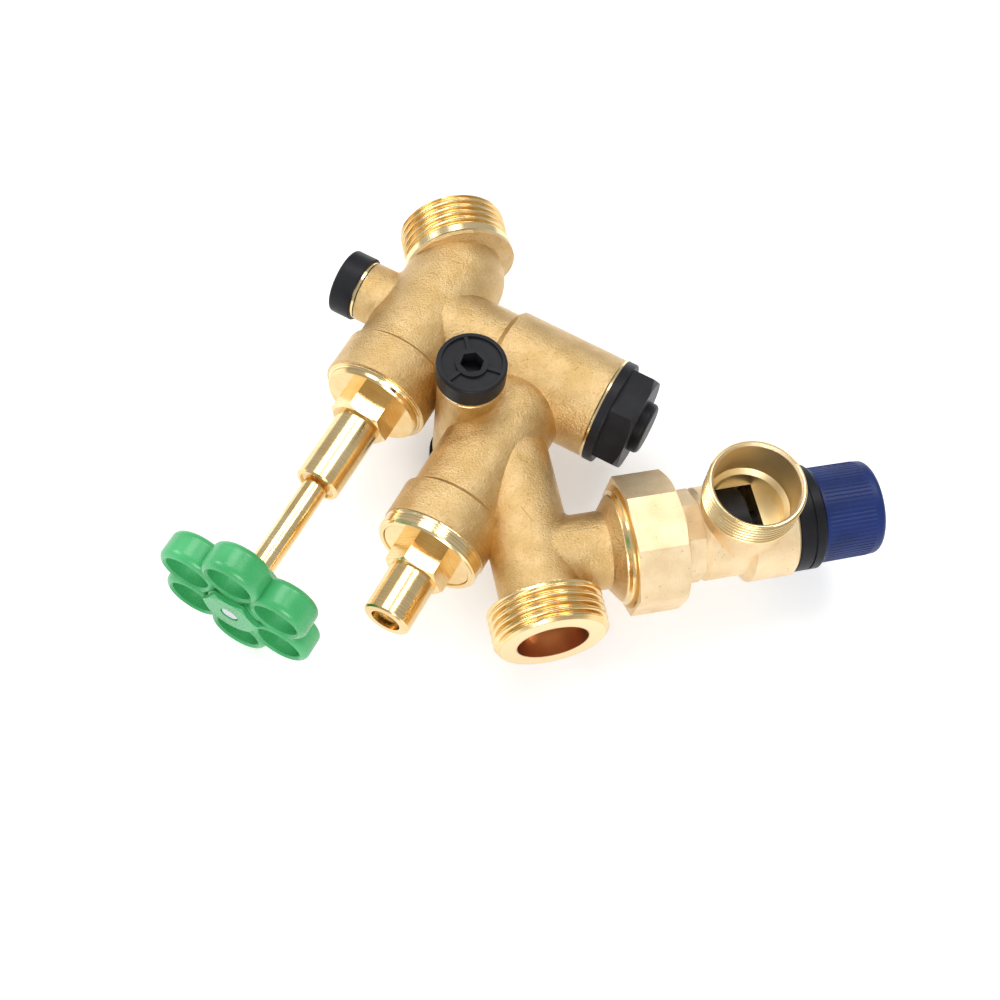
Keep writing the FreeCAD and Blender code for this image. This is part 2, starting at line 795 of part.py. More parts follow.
def bonnet(trim, face, hex_end, tube_end, flange=None):
    """The turned insert with its threaded disc, spanner flats and neck, still without its bore."""
    gasket = size("bonnet_gasket")
    gap = size("running_clearance")
    disc = trim.size("bonnet_thread") / 2 - gap
    neck = trim.size("tube_diameter") / 2
    start = trim.size("bonnet_seat") + gasket
    piece = Piece(trim.name + "_bonnet", trim.frame)
    bevel = size("bonnet_bevel")
    rim = [(face - bevel, disc), (face, disc - bevel)]
    if flange is not None:
        ledge = trim.size("lip_end") + gap
        rim = [(ledge, disc), (ledge, flange), (face - bevel, flange), (face, flange - bevel)]
    piece.turned([(start, 0), (start, disc)] + rim + [
        (face, neck), (tube_end - bevel, neck), (tube_end, neck - bevel), (tube_end, 0),
    ])
    piece.wrench(6, trim.size("hex"), face, hex_end, turn=trim.size("hex_turn"), first=False)
    ring = Piece(trim.name + "_bonnet_gasket", trim.frame)
    ring.turned(tube(trim.size("bonnet_seat"), start, trim.size("cavity_diameter"), disc * 2))
    return piece, start


def stop_bonnet(trim):
    gap = size("running_clearance")
    face, end = size("stop_disc_face"), size("stop_tube_end")
    piece, start = bonnet(trim, face, size("stop_hex_end"), end, size("stop_disc_flange") / 2)
    screw = size("stop_screw_diameter") / 2 + gap
    stem = size("stop_stem_diameter") / 2 + gap
    gland, bottom = size("stop_gland_diameter") / 2, end - size("stop_gland_depth")
    top = size("stop_screw_end") + size("screw_relief")
    piece.turned([
        (start - 1, 0), (start - 1, screw), (top, screw), (top + (screw - stem), stem), (bottom, stem),
        (bottom, gland), (end + 1, gland), (end + 1, 0),
    ], cut=True)
    bush_end = end - size("gland_sink")
    bush_start = bush_end - size("bush_length")
    bush = Piece("stop_gland_bush", trim.frame)
    bush.turned(tube(bush_start, bush_end, stem * 2, gland * 2))
    for number in (1, 2):
        place = bottom + size("ring_section") * (number - 0.5) + gap
        seal_ring("stop_gland_ring_%d" % number, trim.frame, place, size("stop_stem_diameter"), gland * 2)


def service_bonnet(trim):
    gap = size("running_clearance")
    face, end = size("service_disc_face"), size("service_tube_end")
    piece, start = bonnet(trim, face, size("service_hex_end"), end)
    screw = size("service_screw_diameter") / 2 + gap
    stem = size("service_stem_diameter") / 2 + gap
    top = size("service_screw_bore_end")
    piece.turned([
        (start - 1, 0), (start - 1, screw), (top, screw), (top + (screw - stem), stem), (end + 1, stem),
        (end + 1, 0),
    ], cut=True)


def valve_disc(trim):
    """The disc that closes on the seat: a brass holder, a rubber seal, its screw and the ring over the foot."""
    gap = size("running_clearance")
    name, frame = trim.name, trim.frame
    shank = size("seal_screw_shank")
    outer = trim.size("holder_diameter")
    wall, rounding = size("holder_wall"), size("holder_round")
    holder = Piece(name + "_disc_holder", frame)
    holder.turned([
        (trim.holder, 0), (trim.holder, outer / 2, rounding), (trim.cap_end, outer / 2, rounding),
        (trim.cap_end, 0),
    ])
    holder.turned([
        (trim.holder - 1, 0), (trim.holder - 1, shank / 2), (trim.socket, shank / 2),
        (trim.socket, trim.size("foot_diameter") / 2 + gap), (trim.cap, trim.size("foot_diameter") / 2 + gap),
        (trim.cap, outer / 2 - wall), (trim.cap_end + 1, outer / 2 - wall), (trim.cap_end + 1, 0),
    ], cut=True)
    cap = Piece(name + "_holder_ring", frame)
    cap.turned(tube(trim.cap, trim.cap_end, trim.size("neck_diameter") + gap * 2, outer - wall * 2))
    seal = Piece(name + "_disc_seal", frame)
    seal.turned(tube(trim.seal, trim.holder, shank, outer - size("seal_inset") * 2))
    screw = Piece(name + "_seal_screw", frame)
    head = trim.size("seal_screw_head") / 2
    top = trim.seal - size("seal_screw_head_height")
    screw.turned([
        (top, 0), (top, head, rounding), (trim.seal, head), (trim.seal, shank / 2), (trim.socket - gap, shank / 2),
        (trim.socket - gap, 0),
    ])


def stop_spindle(trim):
    foot, neck = size("stop_foot_diameter") / 2, size("stop_neck_diameter") / 2
    screw, stem = size("stop_screw_diameter") / 2, size("stop_stem_diameter") / 2
    start, end = size("stop_screw_start"), size("stop_screw_end")
    seat = size("wheel_seat_diameter") / 2
    shoulder = size("hub_back") + size("hub_counterbore")
    tip = shoulder + size("wheel_seat_length")
    spindle = Piece("stop_spindle", trim.frame)
    spindle.turned([
        (trim.foot, 0), (trim.foot, foot), (trim.foot_end, foot), (trim.foot_end, neck), (start, neck),
        (start, screw), (end, screw), (end, stem), (shoulder, stem), (shoulder, seat), (tip, seat), (tip, 0),
    ])
    reach = size("wheel_screw_reach")
    spindle.turned(rod(tip - reach, tip + 1, size("wheel_screw_shank")), cut=True)
    screw = Piece("handwheel_screw", trim.frame)
    shank, head = size("wheel_screw_shank") / 2, size("wheel_screw_head") / 2
    top = tip + size("wheel_screw_head_height")
    screw.turned([
        (tip - reach, 0), (tip - reach, shank), (tip, shank), (tip, head), (top, head, size("wheel_screw_round")),
        (top, 0),
    ])
    return shoulder, tip


def handwheel(trim, shoulder, tip):
    """Six looped petals round a hub, with a hole in each petal and the spindle's square end inside."""
    wheel = Piece("handwheel", trim.frame)
    hub, back, face = size("hub_diameter") / 2, size("hub_back"), size("hub_face")
    plate = face - size("hub_plate_height")
    bevel, rounding = size("hub_bevel"), size("hub_round")
    wheel.turned([
        (back, 0), (back, hub - bevel), (back + bevel, hub), (plate, hub, rounding), (plate, 0),
    ])
    wheel.wrench(6, size("hub_plate_flats"), plate, face, turn=30, first=False)
    petal, ring = size("petal_diameter") / 2, size("petal_ring") / 2
    start = size("petal_back")
    end = start + size("petal_thickness")
    curve = size("petal_round")
    loop = wheel.turned([
        (start, 0), (start, petal, curve), (end, petal, curve), (end, 0),
    ], frame=Frame(0, ring), plane="XZ_Plane")
    hole, lead = size("petal_hole") / 2, size("petal_hole_bevel")
    opening = wheel.turned([
        (start - 1, 0), (start - 1, hole), (end - lead, hole), (end, hole + lead), (end + 1, hole + lead),
        (end + 1, 0),
    ], cut=True, frame=Frame(0, ring), plane="XZ_Plane")
    wheel.repeat([loop, opening], 6)
    stem, seat = size("stop_stem_diameter") / 2, size("wheel_seat_diameter") / 2
    head = size("wheel_screw_head") / 2 + size("wheel_screw_clearance")
    wheel.turned([
        (back - 1, 0), (back - 1, stem), (shoulder, stem), (shoulder, seat), (tip, seat), (tip, head),
        (face + 1, head), (face + 1, 0),
    ], cut=True)


def service_spindle(trim):
    """The lockshield spindle: no wheel, a hexagon socket in its end and one seal ring in a groove."""
    foot, neck = size("service_foot_diameter") / 2, size("service_neck_diameter") / 2
    screw, stem = size("service_screw_diameter") / 2, size("service_stem_diameter") / 2
    start, end, tip = size("service_screw_start"), size("service_screw_end"), size("service_stem_end")
    gap, section = size("running_clearance"), size("ring_section") / 2
    bevel = size("service_tip_bevel")
    place = size("service_ring_groove")
    groove = stem + gap - section * size("service_groove_share")
    spindle = Piece("service_spindle", trim.frame)
    spindle.turned([
        (trim.foot, 0), (trim.foot, foot), (trim.foot_end, foot), (trim.foot_end, neck), (start, neck),
        (start, screw), (end, screw), (end, stem), (place - section, stem), (place - section, groove),
        (place + section, groove), (place + section, stem), (tip - bevel, stem), (tip, stem - bevel), (tip, 0),
    ])
    spindle.socket(size("service_key"), tip, size("service_key_depth"))
    seal_ring("service_spindle_ring", trim.frame, place, groove * 2, (stem + gap) * 2)


def check_cartridge():
    """The non-return cartridge in the chamber, and the hexagon cap that holds it."""
    frame, gap = chamber_axis, size("running_clearance")
    bore, seat = size("cartridge_bore") / 2, size("cartridge_seat")
    end = seat + size("cartridge_length")
    outer = bore - gap
    inner = outer - size("cartridge_wall")
    seat_bore = size("cartridge_seat_bore") / 2
    lip = seat + size("cartridge_seat_thickness")
    sleeve = Piece("check_sleeve", frame)
    sleeve.turned([
        (seat, seat_bore), (lip, seat_bore), (lip, inner), (end, inner), (end, outer), (seat, outer),
    ])
    window = size("cartridge_window")
    centre = chamber_exit + size("cartridge_window_shift")
    sleeve.turned(rod(-bore, bore, window), cut=True, frame=Frame(centre, 0, 0, 90))
    sleeve.turned(rod(-bore, bore, window), cut=True, frame=Frame(centre, 0, 0, 0, 1))
    seal_end = lip + size("poppet_seal_thickness")
    disc_end = seal_end + size("poppet_thickness")
    nose, disc = size("poppet_seal_inner") / 2, size("poppet_diameter") / 2
    stem = size("poppet_stem") / 2
    guide_end = end - size("guide_sink")
    guide_start = guide_end - size("guide_thickness")
    nose_start, stem_end = lip - size("poppet_nose"), guide_end + size("poppet_stem_overhang")
    poppet = Piece("check_poppet", frame)
    poppet.turned([
        (nose_start, 0), (nose_start, nose), (seal_end, nose), (seal_end, disc), (disc_end, disc),
        (disc_end, stem), (stem_end, stem), (stem_end, 0),
    ])
    seal = Piece("check_poppet_seal", frame)
    seal.turned(tube(lip + gap, seal_end, nose * 2, disc * 2))
    guide = Piece("check_guide", frame)
    guide.turned(tube(guide_start, guide_end, (stem + gap) * 2, inner * 2))
    sketch = guide.across(guide_end)
    guide.circle(sketch, size("guide_hole_ring") / 2, 0, size("guide_hole"))
    guide.repeat([guide.pocket(sketch, size("guide_thickness"))], 6)
    coil("check_spring", frame, disc_end, guide_start, size("check_spring_diameter"),
         size("check_spring_wire"), size("check_spring_turns"))
    check_cap(frame, end, outer, inner)


def check_cap(frame, sleeve_end, spigot, hollow):
    cap = Piece("check_cap", frame)
    face = size("chamber_end")
    flange = face + size("cap_flange_thickness")
    top = flange + size("cap_hex_height")
    start = sleeve_end + size("cap_sleeve_gap")
    radius, button = size("cap_flange_diameter") / 2, size("cap_button_diameter") / 2
    crown = top + size("cap_button_height")
    cap.turned([
        (start, 0), (start, spigot), (face, spigot), (face, radius), (flange, radius, size("cap_flange_round")),
        (flange, button), (crown, button, size("cap_button_round")), (crown, 0),
    ])
    cap.wrench(6, size("cap_hex"), flange, top, turn=30, first=False)
    cap.turned(rod(start - 1, face, hollow * 2), cut=True)
    place, section = face - size("cap_ring_place"), size("ring_section") / 2
    groove = spigot - section * size("cap_groove_share")
    cap.turned(tube(place - section, place + section, groove * 2, spigot * 2 + 1), cut=True)
    seal_ring("check_cap_ring", frame, place, groove * 2, size("cartridge_bore"))


def coil(label, frame, start, end, diameter, wire, turns):
    """A spring with the given mean diameter that fills the length between its two seats."""
    rise = end - start - wire * 1.2
    helix = document.addObject("Part::Helix", label + "_path")
    helix.setExpression("Height", rise.text)
    helix.setExpression("Pitch", (rise / turns).text)
    helix.setExpression("Radius", (diameter / 2).text)
    section = document.addObject("Part::Circle", label + "_wire")
    section.setExpression("Radius", (wire / 2).text)
    slope = math.degrees(math.atan2(rise.value / turns.value, math.pi * diameter.value))
    tilt = FreeCAD.Rotation(FreeCAD.Vector(1, 0, 0), 90 + slope)
    section.Placement = FreeCAD.Placement(FreeCAD.Vector(diameter.value / 2, 0, 0), tilt)
    section.setExpression("Placement.Base.x", (diameter / 2).text)
    spring = document.addObject("Part::Sweep", label)
    spring.Label = label
    spring.Sections = [section]
    spring.Spine = (helix, [])
    spring.Solid = True
    spring.Frenet = True
    lay_torus(spring, frame.along(start + wire * 0.6))
    pieces.append(spring)


def plug(label, frame, face):
    """A black plug: flanged head with a keyed recess and three ribs, a shank and a seal ring under the head."""
    gap = size("running_clearance")
    top = face + size("plug_thickness")
    radius, shank = size("plug_diameter") / 2, size("port_thread_diameter") / 2 - gap
    piece = Piece(label, frame)
    piece.turned([
        (face - size("plug_shank_length"), 0), (face - size("plug_shank_length"), shank), (face, shank),
        (face, radius, size("plug_lower_round")), (top, radius, size("plug_upper_round")), (top, 0),
    ])
    depth = size("plug_recess_depth")
    inner, outer = size("plug_recess_inner"), size("plug_recess_outer")
    piece.turned(tube(top - depth, top + 1, inner, outer), cut=True)
    width = size("plug_rib_width") / 2
    sketch = piece.across(top - depth)
    near, far = inner / 2 - size("plug_rib_overlap"), outer / 2 + size("plug_rib_overlap")
    piece.outline(sketch, [(near, -width), (far, -width), (far, width), (near, width)])
    piece.repeat([piece.pad(sketch, depth - size("plug_rib_sink"))], 3)
    piece.socket(size("plug_key"), top, size("plug_key_depth"))
    place = face - size("port_seal_recess") / 2
    seal_ring(label + "_ring", frame, place, shank * 2, size("port_seal_recess_diameter"))


def union():
    """The nut that draws the safety valve onto the branch, and the gasket between them."""
    gap, loose = size("running_clearance"), size("loose_clearance")
    frame = branch_axis
    start, end = size("nut_start"), size("nut_end")
    nut = Piece("union_nut", frame)
    nut.wrench(8, size("nut_flats"), start, end, turn=7.5, first=False)
    thread = size("pipe_thread_diameter") / 2 + gap
    mouth, depth = size("nut_mouth_diameter") / 2, size("nut_mouth_depth")
    tail = size("branch_face") + size("union_gasket") + gap
    shoulder = tail + size("tail_flange_thickness") + gap
    hole = size("tail_diameter") / 2 + loose
    nut.turned([
        (start - 1, 0), (start - 1, mouth), (start, mouth), (start + depth, thread), (shoulder, thread),
        (shoulder, hole), (end + 1, hole), (end + 1, 0),
    ], cut=True)
    gasket_outer = size("tail_flange_diameter") - size("union_gasket_inset") * 2
    gasket = Piece("union_gasket", frame)
    gasket.turned(tube(size("branch_face"), tail - gap, size("branch_bore"), gasket_outer))
    return tail


def safety_body(tail):
    """The safety valve's body: flanged tail, spanner flats, barrel, upright outlet and the seat nozzle."""
    loose = size("loose_clearance")
    body = Piece("safety_body", branch_axis)
    flange, neck = size("tail_flange_diameter") / 2, size("tail_diameter") / 2
    barrel, rim = size("safety_barrel_diameter") / 2, size("safety_rim_diameter") / 2
    flats, flats_end = size("nut_end") + loose, size("safety_flats_end")
    cone = size("safety_flats_cone")
    end, bevel = size("safety_barrel_end"), size("safety_rim_bevel")
    rim_start = end - size("safety_rim_length")
    body.turned([
        (tail, 0), (tail, flange), (tail + size("tail_flange_thickness"), flange),
        (tail + size("tail_flange_thickness"), neck), (flats_end, neck), (flats_end + cone, barrel),
        (rim_start, barrel), (rim_start + (rim - barrel) / 2, rim), (end - bevel, rim), (end, rim - bevel),
        (end, 0),
    ])
    body.wrench(8, size("safety_flats"), flats, flats_end, turn=7.5, last=False)
    port = Frame(size("safety_port_x"), 0, 0, 0, 1)
    outer, height = size("safety_port_diameter") / 2, size("safety_port_height")
    boss, thread_start = size("safety_port_boss_diameter") / 2, size("safety_port_thread_start")
    chamfer = size("safety_port_chamfer")
    body.turned([
        (0, 0), (0, boss), (thread_start - (outer - boss), boss), (thread_start, outer),
        (height - chamfer, outer), (height, outer - chamfer), (height, 0),
    ], frame=port)
    bore, floor = size("safety_port_bore") / 2, size("safety_port_floor")
    step, inner, mouth = size("safety_port_step"), size("safety_port_inner") / 2, size("safety_port_mouth")
    body.turned([
        (floor, 0), (floor, inner), (step - (bore - inner), inner), (step, bore), (height - mouth, bore),
        (height, bore + mouth), (height + 1, bore + mouth), (height + 1, 0),
    ], cut=True, frame=port)
    cavity, cavity_start = size("safety_cavity_diameter") / 2, size("safety_cavity_start")
    cavity_end = size("safety_cavity_end")
    guide = size("safety_guide_stem") / 2 + size("running_clearance")
    recess = size("safety_recess_diameter") / 2
    hollow = recess - size("safety_recess_ledge")
    ledge = end - size("diaphragm_thickness")
    recess_start = end - size("safety_recess_depth")
    body.turned([
        (cavity_start, 0), (cavity_start, cavity), (cavity_end, cavity), (cavity_end, guide),
        (recess_start, guide), (recess_start, hollow), (ledge, hollow), (ledge, recess),
        (end + 1, recess), (end + 1, 0),
    ], cut=True)
    seat_face, seat = size("safety_seat_face"), size("safety_inlet_bore") / 2
    root, nozzle = cavity_start - size("safety_nozzle_root"), seat + size("safety_nozzle_wall")
    slope = size("safety_nozzle_bevel")
    body.turned([
        (root, 0), (root, nozzle), (seat_face - slope, nozzle), (seat_face, nozzle - slope), (seat_face, 0),
    ])
    body.turned(rod(tail - 1, seat_face + 1, seat * 2), cut=True)


def safety_trim():
    """What lifts off the safety valve's seat: seal, carrier, spindle, spring cup and lifting nut."""
    gap = size("running_clearance")
    frame = branch_axis
    seal_start = size("safety_seat_face") + gap
    carrier_start = seal_start + size("seal_thickness")
    shoulder = carrier_start + size("safety_carrier_length")
    end = size("safety_barrel_end") + size("safety_stem_overhang")
    carrier_radius, stem = size("safety_carrier_diameter") / 2, size("safety_guide_stem") / 2
    spindle_radius = size("safety_spindle_diameter") / 2
    seal = Piece("safety_disc_seal", frame)
    seal.turned(rod(seal_start, carrier_start, size("safety_seal_diameter")))
    carrier = Piece("safety_disc_carrier", frame)
    bevel = size("safety_carrier_bevel")
    carrier.turned([
        (carrier_start, 0), (carrier_start, carrier_radius, bevel), (shoulder - bevel, carrier_radius),
        (shoulder, carrier_radius - bevel), (shoulder, stem), (end, stem), (end, 0),
    ])
    root = shoulder - size("safety_spindle_root")
    carrier.turned(rod(root, end + 1, spindle_radius * 2), cut=True)
    cup_end = end + size("spring_cup_thickness")
    hub_end = cup_end + size("spring_cup_hub")
    cup_radius = size("spring_cup_diameter") / 2
    cup = Piece("safety_spring_cup", frame)
    cup.turned([
        (end, spindle_radius), (hub_end, spindle_radius), (hub_end, stem), (cup_end, stem),
        (cup_end, cup_radius), (end, cup_radius),
    ])
    nut_start = bonnet_tube_end + size("lift_nut_gap")
    nut_end = nut_start + size("lift_nut_length")
    spindle = Piece("safety_spindle", frame)
    spindle.turned(rod(root, nut_end, spindle_radius * 2))
    nut = Piece("safety_lift_nut", frame)
    nut.turned(tube(nut_start, nut_end, spindle_radius * 2, size("lift_nut_diameter")))
    return cup_end


def safety_bonnet(cup_end):
    """The spring housing, its adjuster, the diaphragm clamped under it, the spring and the turning cap."""
    gap, frame = size("running_clearance"), branch_axis
    start = size("safety_barrel_end")
    ring_end = start + size("bonnet_ring_length")
    diaphragm = Piece("safety_diaphragm", frame)
    thickness = size("diaphragm_thickness")
    diaphragm.turned(tube(start - thickness, start, size("diaphragm_hole"), size("safety_recess_diameter")))
    ring, neck = size("bonnet_ring_diameter") / 2, size("bonnet_tube_diameter") / 2
    bore, end = size("bonnet_tube_bore") / 2, bonnet_tube_end
    bevel, depth = size("bonnet_ring_bevel"), size("bonnet_groove_depth")
    groove_end = ring_end - size("bonnet_groove_place")
    groove = groove_end - size("bonnet_groove_width")
    bonnet_piece = Piece("safety_bonnet", frame)
    bonnet_piece.turned([
        (start, bore), (end, bore), (end, neck), (ring_end, neck), (ring_end, ring - bevel),
        (ring_end - bevel, ring), (groove_end, ring), (groove_end, ring - depth), (groove, ring - depth),
        (groove, ring), (start + bevel, ring), (start, ring - bevel),
    ])
    adjuster_end = end - size("adjuster_sink")
    adjuster_start = adjuster_end - size("adjuster_length")
    hole = size("safety_spindle_diameter") / 2 + gap
    adjuster = Piece("safety_adjuster", frame)
    adjuster.turned(tube(adjuster_start, adjuster_end, hole * 2, bore * 2))
    slot = adjuster.across(adjuster_end)
    half = size("adjuster_slot") / 2
    adjuster.outline(slot, [(-bore, -half), (bore, -half), (bore, half), (-bore, half)])
    adjuster.pocket(slot, size("adjuster_slot_depth"))
    coil("safety_spring", frame, cup_end, adjuster_start, size("safety_spring_diameter"),
         size("safety_spring_wire"), size("safety_spring_turns"))
    knob_start = ring_end + size("knob_gap")
    knob_end = knob_start + size("knob_length")
    web_end = end + size("lift_nut_gap") - size("loose_clearance")
    web_start = web_end - size("knob_web_thickness")
    outer, tip = size("knob_diameter") / 2, size("knob_end_diameter") / 2
    wall, rounding = size("knob_wall"), size("knob_round")
    knob = Piece("safety_cap", frame)
    knob.turned([
        (knob_start, 0), (knob_start, outer), (knob_end - rounding * 2, tip), (knob_end, tip, rounding),
        (knob_end, 0),
    ])
    knob.turned([
        (knob_start - 1, 0), (knob_start - 1, neck + gap), (web_start, neck + gap), (web_start, hole),
        (web_end, hole), (web_end, tip - wall), (knob_end - wall, tip - wall), (knob_end - wall, 0),
    ], cut=True)


def finish():
    document.recompute()
    for item in document.Objects:
        faults = [state for state in item.State if state in ("Invalid", "Error")]
        if faults:
            raise ValueError("%s is %s" % (item.Label, faults))
    for piece in pieces:
        shape = piece.Shape
        if shape.isNull() or not shape.isValid() or shape.Volume <= 0:
            raise ValueError("%s has no valid shape" % piece.Label)
        shape.exportStep(os.path.join("parts", piece.Label + ".step"))
        print("%-28s %8.2f cm3  %d solid(s)" % (piece.Label, shape.Volume / 1000, len(shape.Solids)))


valve_body()
stop_trim = Trim("stop", stop_axis)
service_trim = Trim("service", service_axis)
stop_bonnet(stop_trim)
valve_disc(stop_trim)
handwheel(stop_trim, *stop_spindle(stop_trim))
service_bonnet(service_trim)
valve_disc(service_trim)
service_spindle(service_trim)
check_cartridge()
plug("test_plug", test_port, size("test_port_face"))
plug("gauge_plug_front", gauge_front, size("port_face"))
plug("gauge_plug_back", gauge_back, size("port_face"))
safety_body(union())
safety_bonnet(safety_trim())
finish()
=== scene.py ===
import json
import math

import bmesh
import bpy
from mathutils import Matrix, Vector
from mathutils.kdtree import KDTree


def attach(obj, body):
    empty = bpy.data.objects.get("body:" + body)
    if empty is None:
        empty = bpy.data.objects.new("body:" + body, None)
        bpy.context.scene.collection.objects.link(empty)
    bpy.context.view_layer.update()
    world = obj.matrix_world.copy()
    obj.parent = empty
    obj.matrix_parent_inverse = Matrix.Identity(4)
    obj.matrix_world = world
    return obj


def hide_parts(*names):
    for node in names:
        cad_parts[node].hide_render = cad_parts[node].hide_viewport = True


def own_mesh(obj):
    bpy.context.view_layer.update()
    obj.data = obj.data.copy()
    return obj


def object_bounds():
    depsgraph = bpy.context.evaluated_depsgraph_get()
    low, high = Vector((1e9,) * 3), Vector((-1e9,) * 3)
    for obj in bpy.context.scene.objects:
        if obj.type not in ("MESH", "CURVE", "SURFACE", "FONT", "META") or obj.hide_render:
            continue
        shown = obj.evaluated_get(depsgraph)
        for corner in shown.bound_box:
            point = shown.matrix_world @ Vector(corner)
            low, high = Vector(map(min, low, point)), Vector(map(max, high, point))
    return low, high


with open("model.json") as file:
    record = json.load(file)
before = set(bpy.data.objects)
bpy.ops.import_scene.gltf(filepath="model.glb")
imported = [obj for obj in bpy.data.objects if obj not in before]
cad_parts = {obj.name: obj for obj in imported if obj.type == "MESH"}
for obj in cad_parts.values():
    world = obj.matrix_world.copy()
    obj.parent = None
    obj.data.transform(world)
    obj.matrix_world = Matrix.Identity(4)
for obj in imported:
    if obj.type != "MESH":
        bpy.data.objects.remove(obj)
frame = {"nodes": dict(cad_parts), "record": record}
nodes = frame["nodes"]
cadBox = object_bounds()
print("loaded", len(nodes), "nodes")

# A socket that takes part in Python sums: each sign adds the node that works it out


class Signal:
    def __init__(self, tree, socket=None):
        self.tree = tree
        self.socket = socket

    def node(self, kind, settings=None, inputs=None, output=0):
        made = self.tree.nodes.new(kind)
        for name, value in (settings or {}).items():
            setattr(made, name, value)
        for name, value in (inputs or {}).items():
            port = made.inputs[name]
            if isinstance(value, Signal):
                self.tree.links.new(value.socket, port)
            else:
                port.default_value = value
        return Signal(self.tree, made.outputs[output])

    def maths(self, operation, first, second=0.0, third=0.0, clamp=False):
        settings = {"operation": operation, "use_clamp": clamp}
        return self.node("ShaderNodeMath", settings, {0: first, 1: second, 2: third})

    def vector(self, operation, first, second=(0, 0, 0), output="Vector"):
        return self.node("ShaderNodeVectorMath", {"operation": operation}, {0: first, 1: second}, output)

    def mix(self, factor, low, high):
        # Inputs 6 and 7 of a Mix node are its two colours, and output 2 is the mixed one
        return self.node("ShaderNodeMix", {"data_type": "RGBA"}, {0: factor, 6: low, 7: high}, 2)

    def __add__(self, other):
        return self.maths("ADD", self, other)

    __radd__ = __add__

    def __sub__(self, other):
        return self.maths("SUBTRACT", self, other)

    def __rsub__(self, other):
        return self.maths("SUBTRACT", other, self)

    def __mul__(self, other):
        return self.maths("MULTIPLY", self, other)

    __rmul__ = __mul__

    def __truediv__(self, other):
        return self.maths("DIVIDE", self, other)

    def __neg__(self):
        return self.maths("MULTIPLY", self, -1.0)

    def above(self, edge, width):
        return self.maths("MULTIPLY_ADD", self, 1 / width, -edge / width, clamp=True)

    def below(self, edge, width):
        return self.maths("MULTIPLY_ADD", self, -1 / width, edge / width, clamp=True)

    def size(self):
        return self.maths("ABSOLUTE", self)


def newMaterial(name):
    material = bpy.data.materials.new(name)
    material.use_nodes = True
    tree = material.node_tree
    tree.nodes.clear()
    maker = Signal(tree)
    place = maker.node("ShaderNodeTexCoord", output="Object")
    return material, maker, place


def finishMaterial(maker, fixed, colour, rough, bump):
    shader = maker.tree.nodes.new("ShaderNodeBsdfPrincipled")
    for name, value in fixed.items():
        shader.inputs[name].default_value = value
    for name, signal in (("Base Color", colour), ("Roughness", rough), ("Normal", bump)):
        maker.tree.links.new(signal.socket, shader.inputs[name])
    out = maker.tree.nodes.new("ShaderNodeOutputMaterial")
    maker.tree.links.new(shader.outputs[0], out.inputs[0])


def noise(maker, place, perMetre, detail, rough):
    values = {"Vector": place, "Scale": perMetre, "Detail": detail, "Roughness": rough}
    return maker.node("ShaderNodeTexNoise", {}, values)


def bumpMap(maker, height, depth):
    return maker.node("ShaderNodeBump", {}, {"Strength": 1.0, "Distance": depth, "Height": height}, "Normal")


def swing(middle, *parts):
    # A number that swings evenly about its middle, each part being a pattern and its reach
    total = middle - sum(reach for pattern, reach in parts) / 2
    for pattern, reach in parts:
        total = pattern * reach + total
    return total


def distanceAlong(maker, place, base, way):
    moved = maker.vector("SUBTRACT", place, tuple(base))
    return maker.vector("DOT_PRODUCT", moved, tuple(way), "Value")


def distanceFrom(maker, place, base, way):
    moved = maker.vector("SUBTRACT", place, tuple(base))
    across = maker.vector("CROSS_PRODUCT", moved, tuple(way))
    return maker.vector("LENGTH", across, output="Value")


def turningMarks(maker, place, base, way, perMetre, detail):
    # A noise that changes only along a branch
    along = distanceAlong(maker, place, base, way)
    return maker.node("ShaderNodeTexNoise", {"noise_dimensions": "1D"},
                      {"W": along * perMetre, "Scale": 1.0, "Detail": detail})


# Where the branches lie, in metres and degrees
branchLayout = {
    "bonnetAngle": 40.0,
    "stopCrossing": 0.127,
    "serviceCrossing": 0.0677,
    "chamberOffset": 0.0223,
    "branchOffset": 0.0252,
    "portCentre": 0.0610,
    "portTop": 0.0274,
    "runLength": 0.145,
    "gaugeX": -0.0091,
    "gaugeY": 0.0759,
}
slant = math.radians(branchLayout["bonnetAngle"])
bonnetWay = Vector((-math.sin(slant), -math.cos(slant), 0))
chamberWay = Vector((math.cos(slant), -math.sin(slant), 0))
runWay = Vector((0, 1, 0))
branchWay = Vector((1, 0, 0))
upWay = Vector((0, 0, 1))
origin = Vector((0, 0, 0))
stopBase = runWay * branchLayout["stopCrossing"]
serviceBase = runWay * branchLayout["serviceCrossing"]
chamberBase = stopBase + bonnetWay * branchLayout["chamberOffset"]
branchBase = runWay * branchLayout["branchOffset"]
portBase = branchBase + branchWay * branchLayout["portCentre"]
portTop = portBase + upWay * branchLayout["portTop"]
inletBase = runWay * branchLayout["runLength"]
gaugeBase = Vector((branchLayout["gaugeX"], branchLayout["gaugeY"], 0))

# Machined ends of the casting: branch, way, where each starts and how far from the axis it reaches
machinedEnds = {
    "stopCollar": (stopBase, bonnetWay, 0.0543, 0.020),
    "serviceCollar": (serviceBase, bonnetWay, 0.0419, 0.018),
    "chamberMouth": (chamberBase, chamberWay, 0.0605, 0.018),
    "testPort": (chamberBase, -chamberWay, 0.0212, 0.012),
    "outletEnd": (origin, -runWay, -0.0125, 0.020),
    "inletEnd": (origin, runWay, 0.1300, 0.020),
    "branchEnd": (branchBase, branchWay, 0.0235, 0.018),
}
# Machined bores: branch, way, radius, start and end
machinedBores = {
    "outlet": (origin, runWay, 0.0107, -0.001, 0.030),
    "inlet": (inletBase, -runWay, 0.0107, -0.001, 0.015),
    "stopHousing": (stopBase, bonnetWay, 0.0131, 0.0, 0.060),
    "serviceHousing": (serviceBase, bonnetWay, 0.0139, 0.0, 0.060),
    "chamber": (chamberBase, chamberWay, 0.0127, 0.0, 0.070),
}
